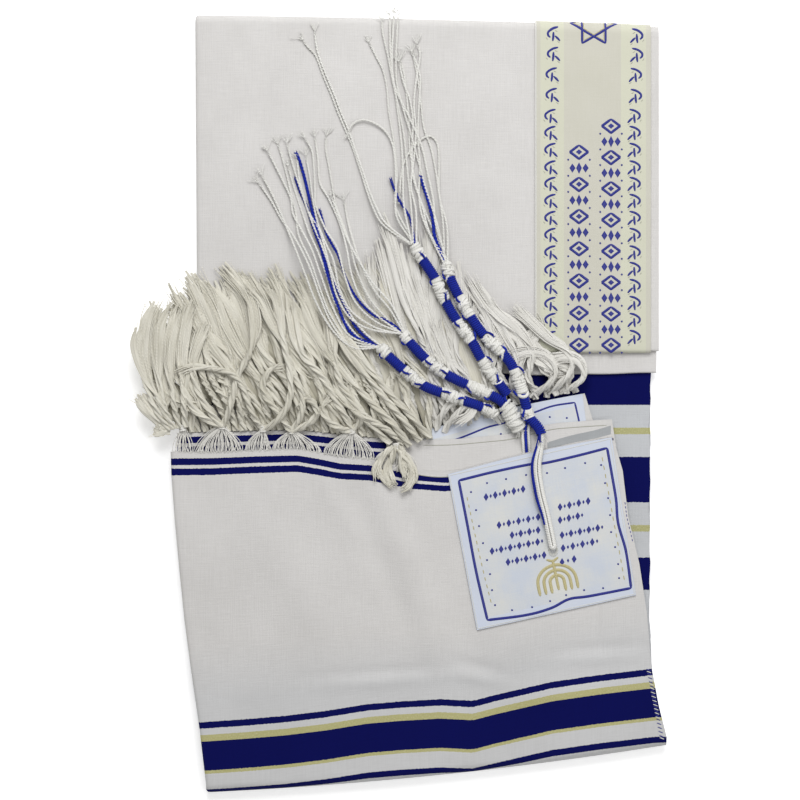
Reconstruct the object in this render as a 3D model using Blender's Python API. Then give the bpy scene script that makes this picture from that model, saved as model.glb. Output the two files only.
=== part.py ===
"""Folded tallit prayer shawl, lying flat.

The striped cloth is folded in half by its length and again by its width, so that every stretch has four
layers. The strip that this makes is closed by a flap from the top and a flap from the bottom. The fringed
ends, the four corners and their knotted tzitzit come out between the two flaps.

The tables are in millimetres and the scene is in metres. X runs across the folded shawl, Y along it and
Z up. The origin is on the underside, near the middle.
"""

import math
from collections import namedtuple

import bmesh
import bpy
import numpy as np

MM = 0.001

# Cloth and the gaps between layers
GAP = 0.3
CLOTH = 1.0
LAYER = CLOTH + GAP
PATCH_CLOTH = 0.6
TRIM_CLOTH = 0.8
UP = np.array([0.0, 0.0, 1.0])


def layer_bottom(number):
    """The height of a layer's underside, counted from the layer on the floor, which is 0."""
    return number * LAYER


TOP_FLAP_SURFACE = layer_bottom(7) + CLOTH
BACK_PATCH_BOTTOM = layer_bottom(5) + LAYER
SECOND_LAYER_BOTTOM = BACK_PATCH_BOTTOM + PATCH_CLOTH + GAP
BOTTOM_FLAP_SURFACE = SECOND_LAYER_BOTTOM + LAYER + CLOTH

# The rolled left edge of the two flaps, where the cloth is folded lengthwise
LIP_RADIUS = 2.3
LIP_ANGLES = [180, 135, 90, 45]
LIP_CLEARANCE = 3.2

# Outline of the folded shawl: the two folds, and the end of the top flap
TOP_FOLD = ((-123.0, 231.6), (155.4, 224.4))
TOP_FOLD_BOW = 1.0
TOP_END = ((-121.8, 28.8), (155.4, 29.4))
SECOND_FOLD_END = 15.6
BOTTOM_FOLD = ((-116.6, -236.0), (160.0, -207.6))
BOTTOM_FOLD_BOW = -4.0
FLOOR_SEAM = -3.0

# Sides of the base, from the top fold to the bottom fold
Side = namedtuple("Side", "y left right")
BASE_SIDES = [
    Side(228.0, -122.6, 154.8),
    Side(14.0, -121.6, 150.9),
    Side(-132.0, -118.6, 150.3),
    Side(-165.0, -118.1, 152.0),
    Side(-190.0, -117.4, 157.0),
    Side(-222.0, -116.8, 160.0),
]

# Sides of the bottom flap, a row for each station from its fringed edge to its fold
FlapRow = namedtuple("FlapRow", "left right ragged")
BOTTOM_FLAP_ROWS = [
    FlapRow((-137.8, -31.0), (127.8, -21.6), 1.0),
    FlapRow((-137.3, -46.0), (133.6, -42.0), 0.7),
    FlapRow((-135.4, -72.0), (137.0, -70.0), 0.3),
    FlapRow((-132.6, -102.0), (143.6, -98.0), 0.0),
    FlapRow((-129.6, -132.0), (148.2, -128.0), 0.0),
    FlapRow((-125.2, -165.0), (150.8, -160.0), 0.0),
    FlapRow((-120.4, -198.0), (155.4, -184.0), 0.0),
]

# The raw edges that carry fringe, as (x, y) points from left to right
FRONT_EDGE = [(-136, -31), (-113, -31), (-61, -29), (-36, -33.6), (-18, -35), (7, -41), (28, -44),
              (73, -32), (128, -21.6)]
SECOND_EDGE = [(-134, -20), (-61, -18), (-18, -23), (28, -24), (72.6, -19.8), (85.8, -14.4), (127.2, -11.4)]
THIRD_EDGE = [(-133, -4), (-61, -2), (-18, -12), (9.5, -19), (47.4, -12.6), (78.6, -4.2), (111, 4.8)]
HIDDEN_STEP = -75.0
FOURTH_EDGE_Y = -26.0
TOP_STEP = 62.0

# Broad soft swells of the flaps: centre, direction of the ridge, half length, half width and height
Swell = namedtuple("Swell", "x y angle length width height")
SWELLS = [
    Swell(-62, -112, -66, 50, 15, 1.3),
    Swell(8, -122, -66, 42, 10, 1.0),
    Swell(95, -176, 8, 45, 9, 0.8),
    Swell(-100, 150, 80, 45, 12, 0.9),
    Swell(55, 135, 88, 60, 10, 0.9),
]

# Neck band and corner patches
ATARA_LEFT = 81.0
ATARA_RIGHT = 150.5
FRONT_PATCH = [(28.8, -44.6), (126.9, -22.4), (141.4, -117.0), (46.2, -138.0)]
BACK_PATCH = [(11.0, -19.4), (109.6, 3.8), (116.0, -46.0), (18.0, -68.0)]
PATCH_BOW = 1.6

# Fringe: each node hangs on a narrow strip along one raw edge
STRIP_GAP = 0.5
STRIP_WIDTH = 3.0
Fan = namedtuple("Fan", "root_x tip_x tip_y")
FRONT_FAN = [Fan(-134, -143, 22), Fan(-110, -136, 54), Fan(-80, -122, 73), Fan(-50, -100, 80),
             Fan(-20, -62, 70), Fan(8, -42, 72)]
SECOND_FAN = [Fan(-132, -148, 10), Fan(-100, -136, 60), Fan(-60, -104, 81), Fan(-20, -60, 68),
              Fan(20, -14, 80)]
THIRD_FAN = [Fan(-131, -162, 22), Fan(-118, -151, 54), Fan(-100, -134, 70), Fan(-60, -100, 76),
             Fan(-20, -52, 72), Fan(10, -18, 92), Fan(30, 8, 108), Fan(60, 38, 72), Fan(90, 74, 46),
             Fan(109, 100, 24)]
LOCK_RISE = 20.0
FLANK_X = -127.0
FLANK_WIDTH = 26.0
FLANK_DROP = 10.0
# Height of the strip's underside and of the locks' middles, how many there are, and how far those beyond
# the left side drop
Fringe = namedtuple("Fringe", "name edge bottom fan level locks droop")
FRINGES = [
    Fringe("fringe_front", FRONT_EDGE, BOTTOM_FLAP_SURFACE - CLOTH, FRONT_FAN, 16.2, 26, 0.0),
    Fringe("fringe_second", SECOND_EDGE, SECOND_LAYER_BOTTOM, SECOND_FAN, 14.3, 26, 0.0),
    Fringe("fringe_third", THIRD_EDGE, layer_bottom(5), THIRD_FAN, 12.4, 40, FLANK_DROP),
]
# Section of a lock: share of its length, share of its lane's width, and half its thickness
LockRing = namedtuple("LockRing", "along width half_thickness")
LOCK_RINGS = [
    LockRing(0.10, 0.44, 0.8),
    LockRing(0.28, 0.76, 0.75),
    LockRing(0.52, 0.72, 0.75),
    LockRing(0.78, 0.70, 0.7),
    LockRing(1.00, 0.80, 0.5),
]

# Tzitzit: windings and knots along each one, from its strands to the corner that it is tied in
TUBE_SIDES = 12
WINDING_RADIUS = 3.0
KNOT_RADIUS = 3.4
GROOVE_RADIUS = 2.4
THREADS_RADIUS = 2.6
THREADS_FLATNESS = 0.5
Stretch = namedtuple("Stretch", "kind x y z")
TZITZIT = {
    "tzitzit_a": [
        Stretch("knot", 8.5, 92.5, 16.8),
        Stretch("winding", 13.5, 84, 16.8),
        Stretch("knot", 20.9, 72.8, 16.8),
        Stretch("winding", 27.3, 58.8, 16.8),
        Stretch("knot", 34, 47.4, 16.8),
        Stretch("winding", 42.9, 35.1, 16.8),
        Stretch("knot", 48.9, 24.3, 16.8),
        Stretch("winding", 58.5, 11, 16.6),
        Stretch("end", 64.3, 3.2, 15.3),
    ],
    "tzitzit_b": [
        Stretch("knot", 28, 81, 16.8),
        Stretch("winding", 29.8, 73.4, 16.8),
        Stretch("knot", 35.3, 61.8, 16.8),
        Stretch("winding", 42.3, 49.8, 16.8),
        Stretch("knot", 50.4, 38.6, 16.8),
        Stretch("winding", 61.8, 27.6, 16.8),
        Stretch("knot", 68.2, 18.4, 16.8),
        Stretch("winding", 73.6, 3.6, 16.3),
        Stretch("knot", 76.0, -5.4, 15.1),
        Stretch("winding", 77.4, -10.4, 14.7),
        Stretch("threads", 84.6, -20.4, 14.5),
        Stretch("threads", 82.2, -39, 14.7),
        Stretch("threads", 84, -54, 14.7),
        Stretch("threads", 87.6, -69, 14.7),
        Stretch("end", 91.4, -87, 14.65),
    ],
    "tzitzit_c": [
        Stretch("knot", 2, 39.5, 18.8),
        Stretch("winding", 5.4, 35.1, 18.8),
        Stretch("knot", 15.6, 24.3, 18.1),
        Stretch("winding", 27.9, 15.3, 17.1),
        Stretch("knot", 39.6, 9.4, 16.8),
        Stretch("winding", 54.2, 3, 16.1),
        Stretch("knot", 64, -4.2, 14.5),
        Stretch("threads", 70.6, -18.6, 13.7),
        Stretch("end", 75, -29, 13.5),
    ],
    "tzitzit_d": [
        Stretch("knot", -11.5, 31.5, 18.8),
        Stretch("winding", -7.8, 27.2, 18.8),
        Stretch("knot", 2.2, 18, 18.8),
        Stretch("winding", 13.2, 9.2, 18.6),
        Stretch("knot", 24.8, 4.4, 17.4),
        Stretch("winding", 38.0, -0.2, 15.7),
        Stretch("knot", 49.4, -4.4, 14.3),
        Stretch("threads", 56.5, -9.0, 13.3),
        Stretch("end", 62, -17, 12.1),
    ],
}

# Strands of the tzitzit: half their side, and the routes of the loose ends over the top flap
STRAND_HALF = 0.5
STRAND_HEIGHT = 11.3
Route = namedtuple("Route", "x y z spacing")
LONG_BUNDLE = [
    Route(15, 112, 14.2, 2.3),
    Route(12, 132, 12.2, 2.0),
    Route(7.2, 150, 11.3, 1.6),
    Route(3, 168, 11.3, 1.5),
    Route(-1.2, 192, 11.3, 1.45),
    Route(-4.8, 206, 11.3, 1.4),
    Route(-4.6, 222, 11.3, 1.35),
    Route(-5, 236, 10.9, 1.4),
]
LONG_BUNDLE_LANES = 12
STRAY_PAIR = [
    Route(-2.5, 100, 15, 1.8),
    Route(-14, 118, 12.4, 1.8),
    Route(-23, 132, 11.3, 1.6),
    Route(-28, 150, 11.3, 1.5),
    Route(-36, 174, 11.3, 1.5),
    Route(-42, 189, 11.3, 1.6),
    Route(-51, 209, 11.3, 1.6),
    Route(-56, 219, 11.3, 3.4),
]
LEFT_HOOK = [
    Route(0.5, 104, 14.6, 0),
    Route(-2.4, 132, 11.7, 0),
    Route(-4.2, 151, 11.3, 0),
    Route(-9, 161, 11.3, 0),
    Route(-16, 167.4, 11.3, 0),
    Route(-23, 167, 11.3, 0),
]
RIGHT_HOOK = [
    Route(29.4, 96, 14.8, 0),
    Route(24.6, 120, 12.4, 0),
    Route(24, 138, 11.3, 0),
    Route(23.6, 151, 11.3, 0),
    Route(20.6, 158, 11.3, 0),
    Route(16.6, 158.6, 11.3, 0),
]
FAN_TIPS = ((-85.2, 132.0), (-42.0, 154.8))
FAN_LANES = 16
FAN_HEIGHT = 18.2
FAN_DESCENT = (88.0, 106.0)

# Looks: base colour and roughness
LOOKS = {
    "cloth": ((0.66, 0.66, 0.65), 0.85),
    "fringe": ((0.60, 0.59, 0.53), 0.9),
    "trim": ((0.72, 0.71, 0.60), 0.7),
    "patch": ((0.70, 0.69, 0.60), 0.7),
    "tzitzit": ((0.02, 0.03, 0.25), 0.8),
}


def lerp(a, b, share):
    return a + (b - a) * share


def smoothstep(share):
    share = min(max(share, 0.0), 1.0)
    return share * share * (3 - 2 * share)


def uneven(number, seed):
    """A repeatable value from -1 to 1 for a numbered thing."""
    return math.sin(number * 12.9898 + seed * 78.233) * math.cos(number * 4.1414 + seed * 3.7)


def smooth_curve(points, samples):
    """Points evenly spaced along a Catmull-Rom curve through the points given."""
    points = np.array(points, float)
    padded = np.vstack([2 * points[0] - points[1], points, 2 * points[-1] - points[-2]])
    fine = []
    for index in range(len(points) - 1):
        before, start, end, after = padded[index:index + 4]
        for share in np.linspace(0, 1, 12, endpoint=False):
            fine.append(0.5 * (
                2 * start + (end - before) * share
                + (2 * before - 5 * start + 4 * end - after) * share ** 2
                + (3 * start - before - 3 * end + after) * share ** 3
            ))
    fine = np.array(fine + [points[-1]])
    run = np.concatenate([[0], np.cumsum(np.linalg.norm(np.diff(fine, axis=0), axis=1))])
    wanted = np.asarray(samples) * run[-1]
    return np.column_stack([np.interp(wanted, run, fine[:, axis]) for axis in range(3)])


def swell_height(x, y):
    """How far the broad swells lift a flap at this place."""
    total = 0.0
    for swell in SWELLS:
        angle = math.radians(swell.angle)
        along = (x - swell.x) * math.cos(angle) + (y - swell.y) * math.sin(angle)
        across = (y - swell.y) * math.cos(angle) - (x - swell.x) * math.sin(angle)
        total += swell.height * math.exp(-(along / swell.length) ** 2 - (across / swell.width) ** 2)
    return total if total > 0.02 else 0.0


def base_side(y, side):
    rows = BASE_SIDES[::-1]
    return float(np.interp(y, [row.y for row in rows], [getattr(row, side) for row in rows]))


def flap_side(y, side):
    """The x of the bottom flap's left or right side at this y."""
    points = [getattr(row, side) for row in BOTTOM_FLAP_ROWS] + [BOTTOM_FOLD[side == "right"]]
    points = points[::-1]
    return float(np.interp(y, [point[1] for point in points], [point[0] for point in points]))


def edge_y(edge, x):
    """A raw edge's y at this x, with its corners rounded off."""
    near = [x + shift for shift in (-10, -5, 0, 5, 10)]
    return float(np.mean(np.interp(near, [point[0] for point in edge], [point[1] for point in edge])))


class Shell:
    """Collects points in millimetres and faces, and turns them into one object."""

    def __init__(self):
        self.points = []
        self.faces = []

    def add(self, points):
        start = len(self.points)
        self.points.extend(np.asarray(points, float))
        return list(range(start, len(self.points)))

    def bridge(self, first, second, closed=True):
        count = len(first)
        for index in range(count if closed else count - 1):
            following = (index + 1) % count
            self.faces.append((first[index], first[following], second[following], second[index]))

    def cap(self, ring):
        self.faces.append(tuple(ring))

    def make(self, name, look):
        mesh = bpy.data.meshes.new(name)
        mesh.from_pydata([tuple(np.asarray(point) * MM) for point in self.points], [], self.faces)
        shape = bmesh.new()
        shape.from_mesh(mesh)
        bmesh.ops.recalc_face_normals(shape, faces=shape.faces)
        shape.to_mesh(mesh)
        shape.free()
        mesh.materials.append(material(look))
        mesh.shade_smooth()
        mesh.set_sharp_from_angle(angle=math.radians(40))
        made = bpy.data.objects.new(name, mesh)
        bpy.context.collection.objects.link(made)
        return made


def material(look):
    colour, roughness = LOOKS[look]
    made = bpy.data.materials.get(look) or bpy.data.materials.new(look)
    made.use_nodes = True
    shader = made.node_tree.nodes["Principled BSDF"]
    shader.inputs["Base Color"].default_value = (*colour, 1.0)
    shader.inputs["Roughness"].default_value = roughness
    return made


def wall(name, look, outer, inner):
    """A closed wall between two grids of points with the same rows and columns."""
    shell = Shell()
    outside = [shell.add(row) for row in outer]
    inside = [shell.add(row) for row in inner]
    for number in range(len(outside) - 1):
        shell.bridge(outside[number], outside[number + 1], closed=False)
        shell.bridge(inside[number + 1], inside[number], closed=False)
    shell.bridge(inside[0], outside[0], closed=False)
    shell.bridge(outside[-1], inside[-1], closed=False)
    shell.bridge([row[0] for row in outside], [row[0] for row in inside], closed=False)
    shell.bridge([row[-1] for row in inside], [row[-1] for row in outside], closed=False)
    return shell.make(name, look)


# One station of a flap: the ends of its line, the height of its outer face, how far that face is turned
# from straight up (in radians, towards +Y), how far the left lip is rolled, and the bends of the line
Station = namedtuple("Station", "left right z turn curl bow ragged")


def bend(fold, radius, middle, start, end, steps, curl, bow, direction=1):
    """Stations round a fold, whose outermost line is given. A fold at the bottom has direction -1."""
    made = []
    for degrees in np.linspace(start, end, steps + 1):
        turn = math.radians(degrees)
        reach = radius * math.sin(turn) - direction * radius
        left, right = [(x, y + reach) for x, y in fold]
        made.append(Station(left, right, middle + radius * math.cos(turn), turn, curl, bow, 0.0))
    return made


def straight(left, right, z, turn, curl, bow=0.0, ragged=0.0):
    return Station(left, right, z, turn, curl, bow, ragged)


def surface(station, x):
    """The outer point of a station at this x, and the direction out of the cloth."""
    share = (x - station.left[0]) / (station.right[0] - station.left[0])
    y = lerp(station.left[1], station.right[1], share)
    y += station.bow * 4 * share * (1 - share)
    if station.ragged:
        first, last = BOTTOM_FLAP_ROWS[0].left, BOTTOM_FLAP_ROWS[0].right
        chord = lerp(first[1], last[1], (x - first[0]) / (last[0] - first[0]))
        y += station.ragged * (edge_y(FRONT_EDGE, x) - chord)
    lift = swell_height(x, y) * max(math.cos(station.turn), 0.0) ** 4
    out = np.array([0.0, math.sin(station.turn), math.cos(station.turn)])
    return np.array([x, y, station.z + lift]), out


def section(station, columns):
    """Across one station: x, depth below the outer face, and the angle of the rolled lip."""
    rolled = max(station.curl, 0.02)
    radius = LIP_RADIUS / rolled
    reach = radius * math.sin(min(rolled * math.pi, math.pi / 2))
    start = station.left[0] + reach
    made = []
    for degrees in LIP_ANGLES:
        angle = math.radians(degrees) * rolled
        made.append((start - radius * math.sin(angle), radius * (1 - math.cos(angle)), angle))
    for share in np.linspace(0, 1, columns):
        made.append((lerp(start, station.right[0], share), 0.0, 0.0))
    return made


def flap_wall(name, stations, columns):
    outer, inner = [], []
    for station in stations:
        outer_row, inner_row = [], []
        for x, depth, angle in section(station, columns):
            inner_x = x + CLOTH * math.sin(angle)
            point, out = surface(station, x)
            outer_row.append(point - out * depth)
            point, out = surface(station, inner_x)
            inner_row.append(point - out * (depth + CLOTH * math.cos(angle)))
        outer.append(outer_row)
        inner.append(inner_row)
    return wall(name, "cloth", outer, inner)


def top_flap_stations():
    """From the second layer, round the end of the flap, up to the top fold and back along the floor."""
    nose = (TOP_FLAP_SURFACE - layer_bottom(6)) / 2
    fold = TOP_FLAP_SURFACE / 2
    underside = layer_bottom(6)
    end_left, end_right = TOP_END
    stations = [straight((end_left[0], end_left[1] + 30), (end_right[0], end_right[1] + 30), underside,
                         -math.pi, 0.0)]
    stations += bend(TOP_END, nose, underside + nose, -180, 0, 6, 0.0, 0.0, direction=-1)
    reach = TOP_FOLD[0][1] - fold - end_left[1] - nose
    for share in (0.06, 0.14, 0.26, 0.4, 0.52, 0.64, 0.76, 0.9):
        y_left = end_left[1] + nose + reach * share
        y_right = lerp(end_right[1] + nose, TOP_FOLD[1][1] - fold, share)
        left = lerp(end_left[0], TOP_FOLD[0][0], share)
        stations.append(straight((left, y_left), (end_right[0], y_right), TOP_FLAP_SURFACE, 0.0,
                                 smoothstep(share * 5), TOP_FOLD_BOW * share))
    stations += bend(TOP_FOLD, fold, fold, 0, 180, 8, 1.0, TOP_FOLD_BOW)
    for y in (14.0, FLOOR_SEAM):
        stations.append(straight((base_side(y, "left"), y), (base_side(y, "right"), y), 0.0, math.pi, 1.0))
    return stations


def bottom_flap_stations():
    """From the fringed edge, down the flap, round the bottom fold and back along the floor."""
    fold = BOTTOM_FLAP_SURFACE / 2
    stations = []
    for number, row in enumerate(BOTTOM_FLAP_ROWS):
        bow = BOTTOM_FOLD_BOW * (number / len(BOTTOM_FLAP_ROWS)) ** 2
        stations.append(straight(row.left, row.right, BOTTOM_FLAP_SURFACE, 0.0, 1.0, bow, row.ragged))
    stations += bend(BOTTOM_FOLD, fold, fold, 0, -180, 8, 1.0, BOTTOM_FOLD_BOW, direction=-1)
    for y in (-190.0, -165.0, -132.0, FLOOR_SEAM - GAP):
        stations.append(straight((base_side(y, "left"), y), (base_side(y, "right"), y), 0.0, -math.pi, 1.0))
    return stations


def atara(stations):
    """The neck band: from the flap's own points, moved out, over its end and the top fold."""
    outer, inner = [], []
    quarter = math.radians(92)
    for station in stations:
        if abs(station.turn) > quarter:
            continue
        faces = [surface(station, x) for x in np.linspace(ATARA_LEFT, ATARA_RIGHT, 5)]
        outer.append([point + out * (GAP + TRIM_CLOTH) for point, out in faces])
        inner.append([point + out * GAP for point, out in faces])
    return wall("atara", "trim", outer, inner)


def sheet(name, look, grid, bottom, thickness):
    """A wall of even thickness over a grid of (x, y) points."""
    lower = [[np.array([x, y, bottom(x, y)]) for x, y in row] for row in grid]
    upper = [[point + UP * thickness for point in row] for row in lower]
    return wall(name, look, upper, lower)


def patch_grid(corners, rows, columns):
    """Points between four corners, given from the top left, clockwise. The top edge is bowed."""
    top_left, top_right, low_right, low_left = [np.array(corner) for corner in corners]
    grid = []
    for down in np.linspace(0, 1, rows):
        row = []
        for across in np.linspace(0, 1, columns):
            point = lerp(lerp(top_left, top_right, across), lerp(low_left, low_right, across), down)
            row.append((point[0], point[1] + PATCH_BOW * math.sin(math.pi * across) * (1 - down)))
        grid.append(row)
    return grid


def edge_grid(edge, right_low, columns):
    """A layer's points from its raw edge down to the hidden step."""
    grid = []
    for down in (0, 0.4, 1):
        left = lerp(edge[0][0], flap_side(HIDDEN_STEP, "left") + LIP_CLEARANCE, down)
        if down:
            y_side = lerp(edge[0][1], HIDDEN_STEP, down)
            left = max(left, flap_side(y_side, "left") + LIP_CLEARANCE)
        right = lerp(edge[-1][0], right_low, down)
        row = []
        for x, across in zip(np.linspace(left, right, columns), np.linspace(0, 1, columns)):
            top_x = lerp(edge[0][0], edge[-1][0], across)
            row.append((x, lerp(edge_y(edge, top_x), HIDDEN_STEP + GAP, down)))
        grid.append(row)
    return grid


def slab_section(base, uppers, present, groove=1.2):
    """(x, z) points round a stack of layers, clockwise from its lower left, with a notch between layers.

    Layers that a station lacks keep their points, spread along the top of the layers that it has.
    """
    base_left, base_right, base_layers = base
    upper_left, upper_right, upper_layers = uppers
    points = [(base_left, base_layers[0][0])]
    for low, high in base_layers:
        points += [(base_right - groove, low), (base_right, (low + high) / 2), (base_right - groove, high)]
    top = base_layers[-1][1]
    for number, (low, high) in enumerate(upper_layers):
        if number < present:
            middle = (upper_right, (low + high) / 2)
            points += [(upper_right - groove, low), middle, (upper_right - groove, high)]
            top = high
        else:
            right = (upper_right if present else base_right) - groove
            points += [(right - 2 * (3 * number + step) - 2, top) for step in range(3)]
    if present:
        points += [(upper_left, top), (upper_left, upper_layers[0][0]), (base_left, base_layers[-1][1])]
    else:
        points += [(base_left + 8, top), (base_left + 4, top), (base_left, top)]
    return points


def inner_layers():
    """The layers that the flaps hide, as one rounded solid whose right side shows its layers."""
    base = [(layer_bottom(n), layer_bottom(n) + CLOTH) for n in (1, 2, 3)]
    under_top = [(layer_bottom(n), layer_bottom(n) + CLOTH) for n in (4, 5, 6)]
    under_bottom = under_top[:2] + [(SECOND_LAYER_BOTTOM, SECOND_LAYER_BOTTOM + CLOTH)]
    fold_top = TOP_FLAP_SURFACE / 2
    fold_bottom = BOTTOM_FLAP_SURFACE / 2
    shell = Shell()
    rings = []

    def slant(fold, bow, x):
        share = (x - fold[0][0]) / (fold[1][0] - fold[0][0])
        return lerp(fold[0][1], fold[1][1], share) + bow * 4 * share * (1 - share)

    def fold_station(fold, bow, radius, direction, degrees, uppers):
        inner_radius = radius - CLOTH - GAP
        turn = math.radians(degrees)
        y_side = (fold[0][1] + fold[1][1]) / 2
        left = base_side(y_side, "left") + LIP_CLEARANCE
        right = min(base_side(y_side, "right"), fold[1][0]) - 1.0
        section_points = slab_section((left, right, base), (left, right, uppers), 3)
        ring = []
        for x, z in section_points:
            y = slant(fold, bow, x) - direction * radius + direction * inner_radius * math.sin(turn)
            ring.append((x, y, radius + (z - radius) * math.cos(turn)))
        return ring

    def flat_station(y, present, uppers, upper_left, upper_right):
        left = base_side(y, "left") + LIP_CLEARANCE
        right = base_side(y, "right") - 0.6
        points = slab_section((left, right, base), (upper_left, upper_right, uppers), present)
        return [(x, y, z) for x, z in points]

    for degrees in (78, 52, 26, 0):
        rings.append(fold_station(TOP_FOLD, TOP_FOLD_BOW, fold_top, 1, degrees, under_top))
    top_left = TOP_END[0][0] + LIP_CLEARANCE
    top_right = TOP_END[1][0] - 1.0
    for y, present in ((TOP_STEP, 3), (TOP_STEP - GAP, 0), (14.0, 0), (FOURTH_EDGE_Y + GAP, 0)):
        rings.append(flat_station(y, present, under_top, top_left, top_right))
    for y, present in ((FOURTH_EDGE_Y, 1), (HIDDEN_STEP + GAP, 1), (HIDDEN_STEP, 3), (-132.0, 3),
                       (-165.0, 3), (-190.0, 3)):
        left = flap_side(y, "left") + LIP_CLEARANCE
        rings.append(flat_station(y, present, under_bottom, left, flap_side(y, "right") - 1.4))
    for degrees in (0, 26, 52, 78):
        rings.append(fold_station(BOTTOM_FOLD, BOTTOM_FOLD_BOW, fold_bottom, -1, degrees, under_bottom))
    indices = [shell.add(ring) for ring in rings]
    for first, second in zip(indices, indices[1:]):
        shell.bridge(first, second)
    shell.cap(indices[0][::-1])
    shell.cap(indices[-1])
    return shell.make("inner_layers", "cloth")


def second_fold():
    """The pair of layers under the top flap, whose fold shows just below the flap's end."""
    low = layer_bottom(4)
    high = layer_bottom(5) + CLOTH
    radius = (high - low) / 2
    middle = low + radius
    left, right, notch = TOP_END[0][0] + LIP_CLEARANCE, 154.0, 1.0
    profile = [(TOP_STEP - 2 * GAP, low), (TOP_STEP - 2 * GAP, high)]
    for degrees in np.linspace(90, 270, 7):
        angle = math.radians(degrees)
        profile.append((SECOND_FOLD_END + radius + radius * math.cos(angle), middle + radius * math.sin(angle)))
    shell = Shell()
    rings = []
    for x, rounding in ((left, 0.6), (left + notch, 0), (right - notch, 0), (right, 0.6)):
        ring = [(x, y + (rounding if y < TOP_STEP - 1 else 0), middle + (z - middle) * (1 - rounding / 2))
                for y, z in profile]
        rings.append(shell.add(ring))
    for first, second in zip(rings, rings[1:]):
        shell.bridge(first, second)
    shell.cap(rings[0][::-1])
    shell.cap(rings[-1])
    return shell.make("top_flap_second_fold", "cloth")


def fringe(name, edge, bottom, fan, level, locks, droop, seed):
    """Twisted locks that rise from a narrow strip along a raw edge and lie over the top flap."""
    shell = Shell()
    first, last = fan[0].root_x, fan[-1].root_x
    lane = (last - first) / locks
    ends = []
    for number in range(locks):
        middle = first + lane * (number + 0.5)
        ends += [middle - 0.36 * lane, middle + 0.36 * lane]
    xs = [first] + ends + [last]
    columns = []
    for x in xs:
        y = edge_y(edge, x) + STRIP_GAP
        columns.append(shell.add([(x, y, bottom), (x, y + STRIP_WIDTH, bottom),
                                  (x, y + STRIP_WIDTH, bottom + CLOTH), (x, y, bottom + CLOTH)]))
    for number, (here, following) in enumerate(zip(columns, columns[1:])):
        for side in range(4):
            if side == 1 and number % 2:
                continue
            after = (side + 1) % 4
            shell.faces.append((here[side], following[side], following[after], here[after]))
    shell.cap(columns[0][::-1])
    shell.cap(columns[-1])
    fan_x = [row.root_x for row in fan]
    for number in range(locks):
        left, right = columns[2 * number + 1], columns[2 * number + 2]
        ring = [left[1], right[1], right[2], left[2]]
        middle = first + lane * (number + 0.5)
        root = np.array([middle, edge_y(edge, middle) + STRIP_GAP + STRIP_WIDTH])
        tip = np.array([np.interp(middle, fan_x, [row.tip_x for row in fan]),
                        np.interp(middle, fan_x, [row.tip_y for row in fan])])
        tip = lerp(root, tip, 1 + 0.08 * uneven(number, seed))
        length = np.linalg.norm(tip - root)
        for station in LOCK_RINGS:
            share = station.along
            wave = 2.2 * math.sin(2 * math.pi * (1.1 * share + 0.035 * number)) * share
            # The locks leave the edge upright and then lean over
            lean = share ** 1.25
            x = lerp(root[0], tip[0], lean) + wave
            y = lerp(root[1], tip[1], share)
            heading = np.array([(tip[0] - root[0]) * 1.25 * max(share, 0.05) ** 0.25, tip[1] - root[1]])
            heading /= np.linalg.norm(heading)
            sideways = np.array([heading[1], -heading[0], 0.0])
            z = lerp(bottom + CLOTH / 2, level, smoothstep(share * length / LOCK_RISE))
            z -= droop * smoothstep((FLANK_X - x) / FLANK_WIDTH) * smoothstep(share * 2)
            half = 0.5 * lane * station.width * heading[1]
            centre = np.array([x, y, z])
            corners = [centre - sideways * half - UP * station.half_thickness,
                       centre + sideways * half - UP * station.half_thickness,
                       centre + sideways * half + UP * station.half_thickness,
                       centre - sideways * half + UP * station.half_thickness]
            following = shell.add(corners)
            shell.bridge(ring, following)
            ring = following
        shell.cap(ring)
    return shell.make(name, "fringe")


def tube_rings(rows):
    """Centres, radii and flatness along a tzitzit, from its corner to its strands."""
    points = [(row.x, row.y, row.z) for row in rows]
    count = len(points) - 1
    knots, radii, flats = [], [], []
    for number in range(count):
        kind = rows[number].kind
        if kind == "winding":
            profile = [(0.0, GROOVE_RADIUS), (0.1, WINDING_RADIUS), (0.9, WINDING_RADIUS)]
            flat = 1.0
        elif kind == "knot":
            profile = [(0.0, GROOVE_RADIUS), (0.3, KNOT_RADIUS - 0.2), (0.7, KNOT_RADIUS)]
            flat = 1.0
        else:
            profile = [(0.0, THREADS_RADIUS), (0.5, THREADS_RADIUS)]
            flat = THREADS_FLATNESS
        for share, radius in profile:
            knots.append(number + share)
            radii.append(radius)
            flats.append(flat)
    knots.append(count)
    radii.append(2.0)
    flats.append(flats[-1] * 0.9)
    fine = smooth_curve(points, np.linspace(0, 1, 400))
    marks = [int(np.argmin(np.linalg.norm(fine - np.array(point), axis=1))) for point in points]
    places = np.interp(knots, range(len(points)), marks) / 399
    centres = smooth_curve(points, places)
    return centres[::-1], radii[::-1], flats[::-1]


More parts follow.
